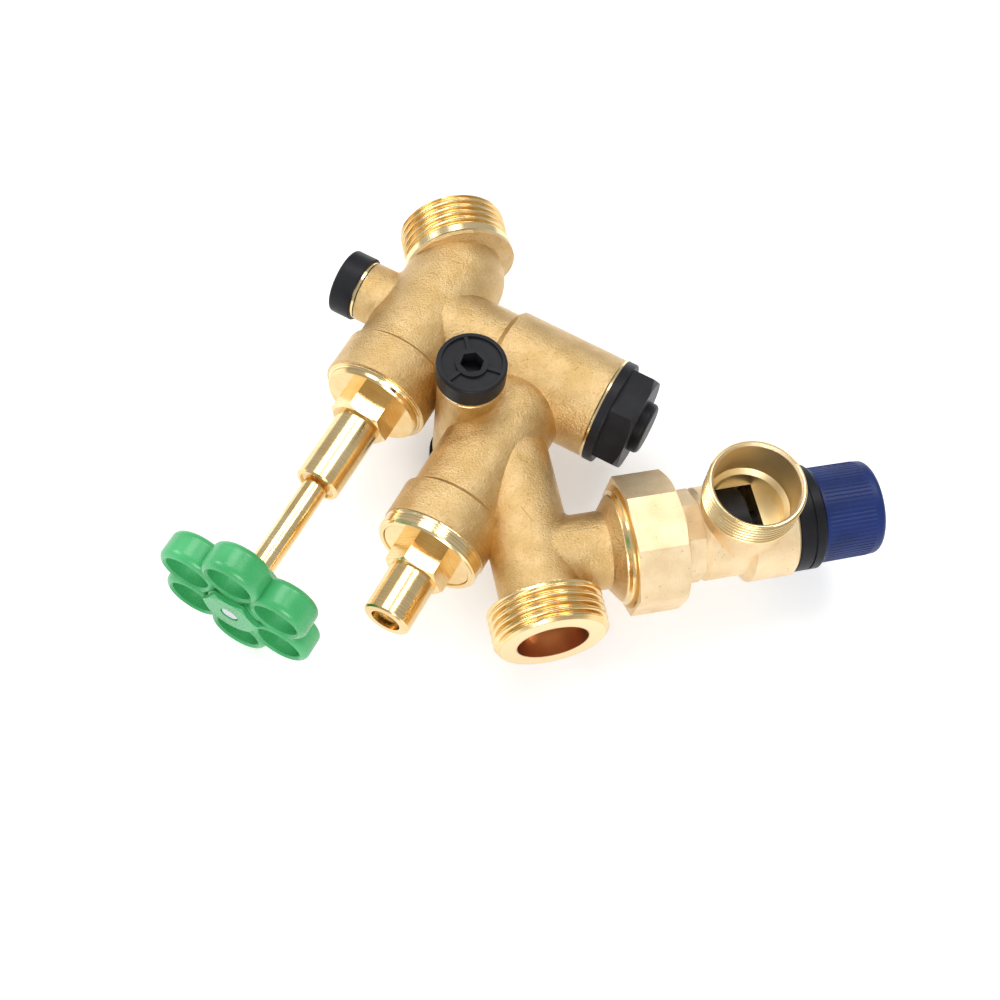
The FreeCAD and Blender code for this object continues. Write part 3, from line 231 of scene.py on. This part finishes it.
# The gauge ports' ends, and how softly each kind of edge comes in
machinedEdges = {
    "gaugeHeight": 0.0192,
    "gaugeReach": 0.012,
    "alongBlur": 0.0004,
    "reachBlur": 0.0005,
    "boreBlur": 0.0002,
}


def machinedZones(maker, place):
    # How far a point is machined, and how far it lies on one of the two bonnet collars
    edges = machinedEdges
    zones = []
    for base, way, start, reach in machinedEnds.values():
        along = distanceAlong(maker, place, base, way).above(start, edges["alongBlur"])
        zones.append(along * distanceFrom(maker, place, base, way).below(reach, edges["reachBlur"]))
    height = distanceAlong(maker, place, gaugeBase, upWay).size()
    near = distanceFrom(maker, place, gaugeBase, upWay).below(edges["gaugeReach"], edges["reachBlur"])
    zones.append(height.above(edges["gaugeHeight"], edges["alongBlur"]) * near)
    for base, way, radius, start, end in machinedBores.values():
        along = distanceAlong(maker, place, base, way)
        inside = distanceFrom(maker, place, base, way).below(radius, edges["boreBlur"])
        zones.append(inside * along.above(start, edges["alongBlur"]) * along.below(end, edges["alongBlur"]))
    mask = collars = maker.maths("MAXIMUM", zones[0], zones[1])
    for zone in zones[2:]:
        mask = maker.maths("MAXIMUM", mask, zone)
    return mask, collars


# In each look a noise is given by its marks per metre, detail and roughness,
# turning marks by their number per metre and detail, and an edge by its place and width
castLook = {
    "low": (0.62, 0.41, 0.17, 1),
    "high": (0.74, 0.52, 0.25, 1),
    "pitColour": (0.50, 0.31, 0.12, 1),
    "machinedColour": (0.90, 0.70, 0.38, 1),
    # Painted reflection: a coppery tint inside the outlet bore, standing in for light bounced between its
    # brass walls
    "paintedBoreReflection": (0.80, 0.46, 0.25, 1),
    "boreRadius": (0.0107, 0.0002),
    "boreLength": (0.030, 0.002),
    "boreRoughness": 0.12,
    "grain": (1600.0, 3.0, 0.65),
    "patches": (160.0, 3.0, 0.55),
    "bands": (1500.0, 1.0),
    "patchEdge": (0.35, 0.3),
    "pitEdge": (0.50, 0.12),
    "bandEdge": (0.50, 0.08),
    "pitShade": 0.45,
    "bandShade": 0.5,
    "roughness": 0.33,
    "grainRoughness": 0.22,
    "patchRoughness": 0.12,
    "machinedRoughness": 0.17,
    "patchHeight": 1.2,
    "bandHeight": 0.25,
    "machinedSmoothness": 0.97,
    "depth": 0.00036,
}
turnedLook = {
    "pale": (0.84, 0.59, 0.27, 1),
    "bright": castLook["machinedColour"],
    "shade": (0.60, 0.38, 0.15, 1),
    "rings": (2600.0, 3.0),
    "stain": (120.0, 3.0, 0.5),
    "stainEdge": (0.4, 0.25),
    "ringEdge": (0.54, 0.10),
    "ringShade": 0.4,
    "roughness": 0.17,
    "pipeRoughness": 0.24,
    "portRoughness": 0.26,
    "ringRoughness": 0.10,
    "stainRoughness": 0.06,
    "depth": 0.00002,
}
blastedLook = {
    "low": (0.80, 0.60, 0.35, 1),
    "high": (0.90, 0.72, 0.46, 1),
    "speckColour": (0.62, 0.44, 0.22, 1),
    "grain": (3200.0, 2.0, 0.6),
    "specks": (900.0, 1.0, 0.5),
    "patches": (140.0, 3.0, 0.5),
    "patchEdge": (0.35, 0.3),
    "speckEdge": (0.70, 0.04),
    "speckShade": 0.6,
    "roughness": 0.46,
    "grainRoughness": 0.2,
    "depth": 0.00010,
}
# The safety valve's body is lumpy low down and turned inside its port, whose paler colour is partly the
# turned brass and partly painted light on the shaded inner wall
safetyBodyLook = {
    "lumps": (420.0, 2.0, 0.5),
    "lumpEdge": (-0.002, 0.006),
    "lumpHeight": 3.0,
    "portTurnedAndLitColour": (0.95, 0.78, 0.48, 1),
    "portRadius": (0.01245, 0.0002),
    "portStart": (0.004, 0.001),
    "portRoughness": 0.42,
    "portSmoothness": 0.9,
    "depth": 0.00014,
}
metal = {"Metallic": 1.0}


def makeCastBrass():
    look = castLook
    material, maker, place = newMaterial("castBrass")
    grain = noise(maker, place, *look["grain"])
    patches = noise(maker, place, *look["patches"])
    bands = turningMarks(maker, place, stopBase, bonnetWay, *look["bands"])
    machined, collars = machinedZones(maker, place)
    inBore = distanceFrom(maker, place, origin, runWay).below(*look["boreRadius"])
    inBore = inBore * distanceAlong(maker, place, origin, runWay).below(*look["boreLength"])
    colour = maker.mix(patches.above(*look["patchEdge"]), look["low"], look["high"])
    colour = maker.mix(machined, colour, look["machinedColour"])
    # Painted reflection: the outlet bore is tinted copper for light bounced inside it; its lower roughness is
    # the real turned bore
    colour = maker.mix(inBore, colour, look["paintedBoreReflection"])
    banded = bands.above(*look["bandEdge"]) * collars * look["bandShade"]
    colour = maker.mix(banded, colour, turnedLook["shade"])
    pitted = grain.below(*look["pitEdge"]) * (1 - machined) * look["pitShade"]
    colour = maker.mix(pitted, colour, look["pitColour"])
    skin = swing(look["roughness"], (grain, look["grainRoughness"]), (patches, look["patchRoughness"]))
    rough = skin * (1 - machined) + machined * look["machinedRoughness"] + inBore * look["boreRoughness"]
    height = (grain + patches * look["patchHeight"]) * (1 - machined * look["machinedSmoothness"])
    height = height + bands * collars * look["bandHeight"]
    finishMaterial(maker, metal, colour, rough, bumpMap(maker, height, look["depth"]))
    return material


def makeTurnedBrass(name, base, way, roughness=turnedLook["roughness"]):
    look = turnedLook
    material, maker, place = newMaterial(name)
    rings = turningMarks(maker, place, base, way, *look["rings"])
    stain = noise(maker, place, *look["stain"])
    colour = maker.mix(stain.above(*look["stainEdge"]), look["pale"], look["bright"])
    colour = maker.mix(rings.above(*look["ringEdge"]) * look["ringShade"], colour, look["shade"])
    rough = swing(roughness, (rings, look["ringRoughness"]), (stain, look["stainRoughness"]))
    finishMaterial(maker, metal, colour, rough, bumpMap(maker, rings, look["depth"]))
    return material


def makeBlastedBrass(name, body=None):
    look = blastedLook
    material, maker, place = newMaterial(name)
    grain = noise(maker, place, *look["grain"])
    specks = noise(maker, place, *look["specks"])
    patches = noise(maker, place, *look["patches"])
    colour = maker.mix(patches.above(*look["patchEdge"]), look["low"], look["high"])
    colour = maker.mix(specks.above(*look["speckEdge"]) * look["speckShade"], colour, look["speckColour"])
    rough = swing(look["roughness"], (grain, look["grainRoughness"]))
    height, depth = grain, look["depth"]
    if body:
        low = distanceAlong(maker, place, origin, -upWay).above(*body["lumpEdge"])
        height = grain + noise(maker, place, *body["lumps"]) * low * body["lumpHeight"]
        inside = distanceFrom(maker, place, portBase, upWay).below(*body["portRadius"])
        inside = inside * distanceAlong(maker, place, portBase, upWay).above(*body["portStart"])
        # Painted light: the port's inside is coloured paler than bare turned brass to light its shaded walls
        colour = maker.mix(inside, colour, body["portTurnedAndLitColour"])
        rough = rough * (1 - inside) + inside * body["portRoughness"]
        height = height * (1 - inside * body["portSmoothness"])
        depth = body["depth"]
    finishMaterial(maker, metal, colour, rough, bumpMap(maker, height, depth))
    return material


plasticMarks = {
    "grain": (1800.0, 2.0, 0.5),
    "patches": (90.0, 2.0, 0.5),
    "patchEdge": (0.35, 0.3),
    "grainRoughness": 0.10,
    "patchRoughness": 0.06,
}
# Two colours, roughness, depth of the grain and gloss
plasticLook = {
    "greenPlastic": ((0.045, 0.36, 0.11, 1), (0.07, 0.45, 0.16, 1), 0.28, 0.00003, 0.5),
    "blackPlastic": ((0.010, 0.010, 0.012, 1), (0.018, 0.018, 0.021, 1), 0.40, 0.00004, 0.16),
    "bluePlastic": ((0.006, 0.018, 0.10, 1), (0.009, 0.027, 0.145, 1), 0.42, 0.00003, 0.3),
    "whitePlastic": ((0.70, 0.70, 0.67, 1), (0.80, 0.80, 0.78, 1), 0.42, 0.00003, 0.5),
    "blackRubber": ((0.012, 0.012, 0.012, 1), (0.022, 0.022, 0.022, 1), 0.62, 0.00005, 0.2),
    "fibreSheet": ((0.11, 0.12, 0.12, 1), (0.18, 0.19, 0.19, 1), 0.75, 0.00008, 0.5),
}
steelLook = {
    "low": (0.52, 0.52, 0.53, 1),
    "high": (0.72, 0.72, 0.73, 1),
    "marks": (1500.0, 2.0, 0.5),
    "roughness": 0.255,
    "markRoughness": 0.15,
    "depth": 0.00002,
}


def makePlastic(name, low, high, roughness, depth, gloss):
    marks = plasticMarks
    material, maker, place = newMaterial(name)
    grain = noise(maker, place, *marks["grain"])
    patches = noise(maker, place, *marks["patches"])
    colour = maker.mix(patches.above(*marks["patchEdge"]), low, high)
    rough = swing(roughness, (grain, marks["grainRoughness"]), (patches, marks["patchRoughness"]))
    fixed = {"Metallic": 0.0, "Specular IOR Level": gloss}
    finishMaterial(maker, fixed, colour, rough, bumpMap(maker, grain, depth))
    return material


def makeSteel(name):
    look = steelLook
    material, maker, place = newMaterial(name)
    marks = noise(maker, place, *look["marks"])
    colour = maker.mix(marks, look["low"], look["high"])
    rough = swing(look["roughness"], (marks, look["markRoughness"]))
    finishMaterial(maker, metal, colour, rough, bumpMap(maker, marks, look["depth"]))
    return material


castBrass = makeCastBrass()
stopBrass = makeTurnedBrass("stopTurnedBrass", stopBase, bonnetWay)
serviceBrass = makeTurnedBrass("serviceTurnedBrass", serviceBase, bonnetWay)
branchBrass = makeTurnedBrass("branchTurnedBrass", branchBase, branchWay)
runBrass = makeTurnedBrass("runTurnedBrass", origin, runWay, turnedLook["pipeRoughness"])
portBrass = makeTurnedBrass("portTurnedBrass", portBase, upWay, turnedLook["portRoughness"])
nutBrass = makeBlastedBrass("nutBrass")
bodyBrass = makeBlastedBrass("safetyBodyBrass", safetyBodyLook)
plastics = {name: makePlastic(name, *look) for name, look in plasticLook.items()}
drawnSteel = makeSteel("drawnSteel")
print("materials made")

# Meshes made here, each at the origin with its place in its points
meshCare = {
    "weld": 1e-7,
    "nodeWeld": 1e-6,
    "normalReach": 3e-6,
    "sameWay": 0.8,
}
# Edges flatter than these angles are shaded smooth
smoothAngle = {
    "thread": 60.0,
    "turned": 30.0,
    "coil": 40.0,
    "rib": 40.0,
}


def addPiece(name, mesh, material, body, replaced=None):
    piece = bpy.data.objects.new(name, mesh)
    bpy.context.scene.collection.objects.link(piece)
    mesh.materials.clear()
    mesh.materials.append(material)
    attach(piece, body)
    if replaced:
        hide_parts(replaced)
    return piece


def axisMatrix(base, way):
    turned = way.to_track_quat("Z", "Y").to_matrix().to_4x4()
    return Matrix.Translation(base) @ turned


def faceOutward(shape):
    bmesh.ops.recalc_face_normals(shape, faces=shape.faces)
    if shape.calc_volume(signed=True) < 0:
        bmesh.ops.reverse_faces(shape, faces=shape.faces)


def closedMesh(name, shape, matrix=Matrix.Identity(4)):
    bmesh.ops.remove_doubles(shape, verts=shape.verts, dist=meshCare["weld"])
    bmesh.ops.dissolve_degenerate(shape, edges=shape.edges, dist=meshCare["weld"])
    shape.transform(matrix)
    faceOutward(shape)
    mesh = bpy.data.meshes.new(name)
    shape.to_mesh(mesh)
    shape.free()
    return mesh


def lathe(name, corners, base, way, steps=96):
    # Spins a closed outline of (along, radius) corners about a branch
    shape = bmesh.new()
    rings = []
    for index in range(steps):
        angle = 2 * math.pi * index / steps
        rings.append([shape.verts.new((radius * math.cos(angle), radius * math.sin(angle), along))
                      for along, radius in corners])
    for index, ring in enumerate(rings):
        following = rings[(index + 1) % steps]
        for corner in range(len(corners)):
            after = (corner + 1) % len(corners)
            shape.faces.new((ring[corner], following[corner], following[after], ring[after]))
    return closedMesh(name, shape, axisMatrix(base, way))


def smoothBelow(mesh, degrees):
    for face in mesh.polygons:
        face.use_smooth = True
    mesh.set_sharp_from_angle(angle=math.radians(degrees))


def evaluated(name, worked):
    # The finished mesh of an object with its modifiers, which are then taken off
    graph = bpy.context.evaluated_depsgraph_get()
    plain = bpy.data.meshes.new_from_object(worked.evaluated_get(graph), preserve_all_data_layers=True,
                                            depsgraph=graph)
    plain.name = name
    worked.modifiers.clear()
    return plain


def copyShading(mesh, source):
    # Each corner takes the normal of the source's corner there whose face looks the same way
    tree = KDTree(len(source.vertices))
    for vertex in source.vertices:
        tree.insert(vertex.co, vertex.index)
    tree.balance()
    corners = [[] for vertex in source.vertices]
    for face in source.polygons:
        for loop in face.loop_indices:
            corners[source.loops[loop].vertex_index].append((face.normal, source.corner_normals[loop].vector))
    around = []
    for vertex in mesh.vertices:
        spots = tree.find_range(vertex.co, meshCare["normalReach"])
        around.append([pair for spot, index, gap in spots for pair in corners[index]])
    shading = []
    for face in mesh.polygons:
        for loop in face.loop_indices:
            found = around[mesh.loops[loop].vertex_index]
            best = max(found, key=lambda pair: pair[0].dot(face.normal), default=None)
            fits = best is not None and best[0].dot(face.normal) > meshCare["sameWay"]
            shading.append(Vector(best[1] if fits else face.normal))
    mesh.normals_split_custom_set(shading)


def mergedCopy(name, node):
    shape = bmesh.new()
    shape.from_mesh(nodes[node].data)
    bmesh.ops.remove_doubles(shape, verts=shape.verts, dist=meshCare["nodeWeld"])
    for face in shape.faces:
        face.smooth = True
    mesh = bpy.data.meshes.new(name)
    shape.to_mesh(mesh)
    shape.free()
    return mesh


def cutCopy(name, node, cutters):
    # A merged copy of a node's mesh with rings cut out of it, shaded as the node is
    blank = bpy.data.objects.new(name + "Blank", mergedCopy(name + "Blank", node))
    bpy.context.scene.collection.objects.link(blank)
    tools = []
    for number, cutter in enumerate(cutters):
        tool = bpy.data.objects.new(name + "Tool%d" % number, cutter)
        bpy.context.scene.collection.objects.link(tool)
        cut = blank.modifiers.new("cut%d" % number, "BOOLEAN")
        cut.operation = "DIFFERENCE"
        cut.solver = "EXACT"
        cut.object = tool
        tools.append(tool)
    finished = evaluated(name, blank)
    copyShading(finished, nodes[node].data)
    for tool in tools + [blank]:
        bpy.data.objects.remove(tool)
    print(name, "cut")
    return finished


def newTree(name, sizes):
    # A geometry tree with one named number for each size
    tree = bpy.data.node_groups.new(name, "GeometryNodeTree")
    tree.interface.new_socket("Geometry", in_out="OUTPUT", socket_type="NodeSocketGeometry")
    for title, value in sizes.items():
        kind = "NodeSocketInt" if isinstance(value, int) else "NodeSocketFloat"
        tree.interface.new_socket(title, in_out="INPUT", socket_type=kind)
    entry = tree.nodes.new("NodeGroupInput")
    inputs = {title: Signal(tree, entry.outputs[title]) for title in sizes}
    return tree, Signal(tree), inputs


def endTree(tree, maker, geometry, material):
    placed = maker.node("GeometryNodeRealizeInstances", {}, {0: geometry})
    dressed = maker.node("GeometryNodeSetMaterial", {}, {0: placed, "Material": material})
    out = tree.nodes.new("NodeGroupOutput")
    tree.links.new(dressed.socket, out.inputs[0])


def grow(name, tree, sizes, matrix, degrees):
    # Runs a tree once and keeps its plain mesh
    holder = bpy.data.objects.new(name + "Maker", bpy.data.meshes.new(name + "Maker"))
    bpy.context.scene.collection.objects.link(holder)
    maker = holder.modifiers.new("make", "NODES")
    maker.node_group = tree
    for item in tree.interface.items_tree:
        if item.in_out == "INPUT":
            maker[item.identifier] = sizes[item.name]
    mesh = evaluated(name, holder)
    bpy.data.objects.remove(holder)
    shape = bmesh.new()
    shape.from_mesh(mesh)
    bmesh.ops.remove_doubles(shape, verts=shape.verts, dist=meshCare["weld"])
    faceOutward(shape)
    shape.transform(matrix)
    shape.to_mesh(mesh)
    shape.free()
    smoothBelow(mesh, degrees)
    return mesh


pipeThread = {
    "Major": 0.016625,
    "Root": 0.01515,
    "Pitch": 0.002309,
    "Length": 0.0113,
    "Lead radius": 0.015225,
    "Inner start": 0.01505,
    "Inner end": 0.0146,
    "Columns": 120,
    "Rows": 72,
}
inletPipeThread = dict(pipeThread, Length=0.0126, Rows=80)
portPipeThread = {
    "Major": 0.0140,
    "Root": 0.01330,
    "Pitch": 0.0015,
    "Length": 0.0094,
    "Lead radius": 0.0134,
    "Inner start": 0.01303,
    "Inner end": 0.01265,
    "Columns": 120,
    "Rows": 84,
}
# Shares of half a turn where the crest ends and the root starts, and of the pitch where the thread fades
threadForm = {
    "crestEnd": 0.10,
    "rootStart": 0.90,
    "fadeOut": 0.7,
}
threadCut = {
    "overshoot": 0.001,
    "shortfall": 0.00006,
    "insideGap": 0.00003,
    "outsideGap": 0.0005,
}


def rampUp(maker, value, start, end):
    # Rises smoothly from 0 at the start to 1 at the end
    return maker.node("ShaderNodeMapRange", {"interpolation_type": "SMOOTHSTEP"},
                      {0: value, 1: start, 2: end, 3: 0.0, 4: 1.0})


def threadTree(name, sizes, material):
    # A closed sleeve: a grid wrapped round the branch, with the thread outside and a plain wall inside
    tree, maker, size = newTree(name, sizes)
    rows, columns = size["Rows"], size["Columns"]
    allRows = rows + 3
    grid = maker.node("GeometryNodeMeshGrid", {}, {"Vertices X": columns + 1, "Vertices Y": allRows})
    number = maker.node("GeometryNodeInputIndex")
    column = maker.maths("FLOOR", (number + 0.5) / allRows)
    row = number - column * allRows
    angle = column / columns * (2 * math.pi)
    inner = maker.maths("GREATER_THAN", row, rows - 0.5)
    back = maker.maths("GREATER_THAN", row, rows + 0.5)
    closing = maker.maths("GREATER_THAN", row, rows + 1.5)
    share = maker.maths("MINIMUM", row / (rows - 1), 1.0)
    along = share * (1 - back) * size["Length"]
    turns = along / size["Pitch"] - angle / (2 * math.pi)
    wave = maker.maths("PINGPONG", turns, 0.5) * 2
    flank = rampUp(maker, wave, threadForm["crestEnd"], threadForm["rootStart"])
    fade = rampUp(maker, size["Length"] - along, 0.0, size["Pitch"] * threadForm["fadeOut"])
    crest = size["Major"] - (size["Major"] - size["Root"]) * flank * fade
    outside = maker.maths("MINIMUM", crest, size["Lead radius"] + along)
    wall = size["Inner start"] + (size["Inner end"] - size["Inner start"]) * (along / size["Length"])
    hidden = inner * (1 - closing)
    radius = outside * (1 - hidden) + wall * hidden
    place = maker.node("ShaderNodeCombineXYZ", {}, {
        0: radius * maker.maths("COSINE", angle), 1: radius * maker.maths("SINE", angle), 2: along})
    moved = maker.node("GeometryNodeSetPosition", {}, {"Geometry": grid, "Position": place})
    endTree(tree, maker, moved, material)
    return tree


def threadCutter(name, sizes, base, way):
    low = sizes["Inner start"] + threadCut["insideGap"]
    high = sizes["Major"] + threadCut["outsideGap"]
    start, end = -threadCut["overshoot"], sizes["Length"] - threadCut["shortfall"]
    return lathe(name, [(start, low), (end, low), (end, high), (start, high)], base, way)


def makeThread(name, sizes, base, way, material, body):
    tree = threadTree(name + "Tree", sizes, material)
    mesh = grow(name, tree, sizes, axisMatrix(base, way), smoothAngle["thread"])
    addPiece(name, mesh, material, body)
    print(name, "threaded")


castBody = cutCopy("castBody", "valve_body", [
    threadCutter("outletCutter", pipeThread, origin, runWay),
    threadCutter("inletCutter", inletPipeThread, inletBase, -runWay)])
addPiece("castBody", castBody, castBrass, "valve", "valve_body")
makeThread("outletThread", pipeThread, origin, runWay, runBrass, "valve")
makeThread("inletThread", inletPipeThread, inletBase, -runWay, runBrass, "valve")
safetyShell = cutCopy("safetyShell", "safety_body", [
    threadCutter("portCutter", portPipeThread, portTop, -upWay)])
addPiece("safetyShell", safetyShell, bodyBrass, "safety_valve", "safety_body")
makeThread("portThread", portPipeThread, portTop, -upWay, portBrass, "safety_valve")

# The service bonnet's flange face, raised to just below the collar's lip
serviceFace = {
    "start": 0.0437,
    "end": 0.0462,
    "inner": 0.0078,
    "outer": 0.01372,
    "chamfer": 0.0003,
}


def makeServiceFace():
    start, end = serviceFace["start"], serviceFace["end"]
    inner, outer, chamfer = serviceFace["inner"], serviceFace["outer"], serviceFace["chamfer"]
    mesh = lathe("serviceFace", [(start, inner), (start, outer), (end - chamfer, outer),
                                 (end, outer - chamfer), (end, inner)], serviceBase, bonnetWay)
    smoothBelow(mesh, smoothAngle["turned"])
    addPiece("serviceFace", mesh, serviceBrass, "valve")


makeServiceFace()
print("service face turned")

# The cast flow arrow lies on the run and points to the outlet
flowArrow = {
    "tubeRadius": 0.0121,
    "middle": 0.0003,
    "start": 0.0374,
    "length": 0.0056,
    "halfWidth": 0.0025,
    "relief": 0.00028,
    "depth": 0.0005,
    "steps": 8,
}


def arrowRow(shape, share, lift):
    arrow, steps = flowArrow, flowArrow["steps"]
    half = arrow["halfWidth"] * (1 - share)
    y = arrow["start"] - arrow["length"] * share
    corners = []
    for column in range(steps + 1):
        x = arrow["middle"] + half * (2 * column / steps - 1)
        z = math.sqrt(arrow["tubeRadius"] ** 2 - x ** 2) + lift
        corners.append(shape.verts.new((x, y, z)))
    return corners


def makeArrow():
    steps = flowArrow["steps"]
    shape = bmesh.new()
    top = [arrowRow(shape, row / steps, flowArrow["relief"]) for row in range(steps + 1)]
    bottom = [arrowRow(shape, row / steps, -flowArrow["depth"]) for row in range(steps + 1)]
    for rows in (top, bottom):
        for row, after in zip(rows, rows[1:]):
            for column in range(steps):
                shape.faces.new((row[column], row[column + 1], after[column + 1], after[column]))
    for step in range(steps):
        shape.faces.new((top[0][step], top[0][step + 1], bottom[0][step + 1], bottom[0][step]))
        for side in (0, steps):
            shape.faces.new((top[step][side], top[step + 1][side],
                             bottom[step + 1][side], bottom[step][side]))
    mesh = closedMesh("flowArrow", shape)
    smoothBelow(mesh, smoothAngle["turned"])
    addPiece("flowArrow", mesh, castBrass, "valve")


makeArrow()
print("flow arrow cast")

# Each spring's coil is a merged copy of its node in drawn steel: joint, body, branch, way and travel
springTravel = {
    "check_spring": ("check_lift", "valve", chamberBase, chamberWay, 0.005),
    "safety_spring": ("safety_lift", "safety_valve", branchBase, branchWay, 0.0025),
}


def makeSpring(node, joint, body, base, way, travel):
    mesh = mergedCopy(node + "Coil", node)
    smoothBelow(mesh, smoothAngle["coil"])
    reaches = [(vertex.co - base).dot(way) for vertex in mesh.vertices]
    fixedEnd, length = max(reaches), max(reaches) - min(reaches)
    piece = addPiece(node + "Coil", mesh, drawnSteel, body, node)
    tuple(base + way * fixedEnd)
    1 - travel / length
    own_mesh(piece)


for node, facts in springTravel.items():
    makeSpring(node, *facts)
print("springs made")

# Fine ribs round the safety cap
capRibs = {
    "Count": 72,
    "Sides": 6,
    "Radius": 0.01391,
    "Taper": 0.0080,
    "Start": 0.0842,
    "Length": 0.0142,
    "Half width": 0.00026,
}


def makeCapRibs():
    tree, maker, size = newTree("capRibTree", capRibs)
    bar = maker.node("GeometryNodeMeshCylinder", {}, {
        "Vertices": size["Sides"], "Radius": size["Half width"], "Depth": size["Length"]})
    offset = maker.node("ShaderNodeCombineXYZ", {}, {
        0: size["Radius"] - size["Half width"] * 0.5, 2: size["Start"] + size["Length"] * 0.5})
    tilt = maker.node("ShaderNodeCombineXYZ", {}, {1: -size["Taper"]})
    stood = maker.node("GeometryNodeTransform", {}, {
        "Geometry": bar, "Translation": offset, "Rotation": tilt})
    points = maker.node("GeometryNodePoints", {}, {"Count": size["Count"]})
    number = maker.node("GeometryNodeInputIndex")
    turn = maker.node("ShaderNodeCombineXYZ", {}, {2: number * (2 * math.pi) / size["Count"]})
    ring = maker.node("GeometryNodeInstanceOnPoints", {}, {
        "Points": points, "Instance": stood, "Rotation": turn})
    endTree(tree, maker, ring, plastics["bluePlastic"])
    mesh = grow("capRibs", tree, capRibs, axisMatrix(branchBase, branchWay), smoothAngle["rib"])
    addPiece("capRibs", mesh, plastics["bluePlastic"], "twist_cap")


makeCapRibs()
print("cap ribbed")

finishOfNode = {
    "valve_body": castBrass,
    "union_nut": nutBrass,
    "safety_body": bodyBrass,
    "handwheel": plastics["greenPlastic"],
    "safety_cap": plastics["bluePlastic"],
    "handwheel_screw": drawnSteel,
}
finishOfSlot = {
    "turned_brass": stopBrass,
    "blasted_brass": nutBrass,
    "rubber": plastics["blackRubber"],
    "fibre_gasket": plastics["fibreSheet"],
    "black_plastic": plastics["blackPlastic"],
    "white_plastic": plastics["whitePlastic"],
    "spring_steel": drawnSteel,
}


def finishFor(name, slot):
    # A turned piece takes the marks of the branch that it sits on
    if name in finishOfNode:
        return finishOfNode[name]
    if slot == "turned_brass" and name.startswith("service"):
        return serviceBrass
    if slot == "turned_brass" and name.startswith("safety"):
        return branchBrass
    return finishOfSlot[slot]


for entry in frame["record"]["subparts"]:
    mesh = nodes[entry["node"]].data
    mesh.materials.clear()
    mesh.materials.append(finishFor(entry["node"], entry["material_slot"]))
print("nodes dressed")

# The camera stands where the photograph was taken from
cameraPlace = {
    "azimuth": -20.56,
    "elevation": 62.35,
    "roll": 9.49,
    "distance": 0.44035,
    "target": (-0.00522, 0.04597, 0.0),
    "focalPixels": 1519.1,
    "pictureWidth": 1000.0,
    "clipStart": 0.01,
}


def placeCamera():
    turn, rise = math.radians(cameraPlace["azimuth"]), math.radians(cameraPlace["elevation"])
    back = Vector((math.sin(turn) * math.cos(rise), -math.cos(turn) * math.cos(rise), math.sin(rise)))
    right = (-back).cross(upWay).normalized()
    up = right.cross(-back)
    roll = math.radians(cameraPlace["roll"])
    tiltedRight = right * math.cos(roll) + up * math.sin(roll)
    tiltedUp = up * math.cos(roll) - right * math.sin(roll)
    lens = bpy.data.cameras.new("photoCamera")
    lens.angle = 2 * math.atan(cameraPlace["pictureWidth"] / 2 / cameraPlace["focalPixels"])
    lens.clip_start = cameraPlace["clipStart"]
    camera = bpy.data.objects.new("photoCamera", lens)
    turned = Matrix((tiltedRight, tiltedUp, back)).transposed().to_4x4()
    turned.translation = Vector(cameraPlace["target"]) + back * cameraPlace["distance"]
    camera.matrix_world = turned
    bpy.context.scene.collection.objects.link(camera)
    bpy.context.scene.camera = camera


placeCamera()
print("camera placed")

stageLook = {
    "floorSize": 8.0,
    "floorGap": 0.0002,
    "floorColour": (0.80, 0.80, 0.80, 1),
    "floorGlow": 0.40,
    "worldColour": (0.50, 0.515, 0.53, 1),
    "backdropColour": (1, 1, 1, 1),
    "lampTarget": (0.0, 0.06, 0.0),
}
# Place, width and watts
stageLamps = {
    "overheadSoftbox": ((-0.05, 0.50, 0.88), 0.5, 2.6),
    "leftSoftbox": ((-0.65, 0.47, 0.55), 0.42, 2.6),
    "sideSoftbox": ((0.42, 0.26, 0.83), 0.36, 2.0),
    "frontSoftbox": ((-0.25, -0.75, 0.50), 0.5, 4.5),
}


def makeFloor():
    half = stageLook["floorSize"] / 2
    low = cadBox[0][2] - stageLook["floorGap"]
    mesh = bpy.data.meshes.new("table")
    corners = [(-half, -half, low), (half, -half, low), (half, half, low), (-half, half, low)]
    mesh.from_pydata(corners, [], [(0, 1, 2, 3)])
    table = bpy.data.objects.new("table", mesh)
    bpy.context.scene.collection.objects.link(table)
    material, maker, place = newMaterial("tableTop")
    ray = maker.node("ShaderNodeLightPath", output="Is Camera Ray")
    glossy = Signal(maker.tree, ray.socket.node.outputs["Is Glossy Ray"])
    clear = Signal(maker.tree, ray.socket.node.outputs["Is Transmission Ray"])
    seen = maker.maths("MAXIMUM", maker.maths("MAXIMUM", ray, glossy), clear)
    diffuse = maker.node("ShaderNodeBsdfDiffuse", {}, {"Color": stageLook["floorColour"]})
    glow = maker.node("ShaderNodeEmission", {}, {"Strength": seen * stageLook["floorGlow"]})
    both = maker.node("ShaderNodeAddShader", {}, {0: diffuse, 1: glow})
    out = maker.tree.nodes.new("ShaderNodeOutputMaterial")
    maker.tree.links.new(both.socket, out.inputs[0])
    mesh.materials.append(material)


def makeWorld():
    world = bpy.data.worlds.new("studio")
    bpy.context.scene.world = world
    world.use_nodes = True
    sky = world.node_tree.nodes["Background"]
    air = Signal(world.node_tree)
    direct = air.node("ShaderNodeLightPath", output="Is Camera Ray")
    shown = air.mix(direct, stageLook["worldColour"], stageLook["backdropColour"])
    world.node_tree.links.new(shown.socket, sky.inputs["Color"])


def addLamp(name, place, width, watts):
    light = bpy.data.lights.new(name, "AREA")
    light.shape = "DISK"
    light.size = width
    light.energy = watts
    holder = bpy.data.objects.new(name, light)
    holder.location = place
    aim = Vector(stageLook["lampTarget"]) - Vector(place)
    holder.rotation_euler = aim.to_track_quat("-Z", "Y").to_euler()
    bpy.context.scene.collection.objects.link(holder)


makeFloor()
makeWorld()
for name, facts in stageLamps.items():
    addLamp(name, *facts)
bpy.context.scene.view_settings.view_transform = "Standard"
print("stage and lamps set")
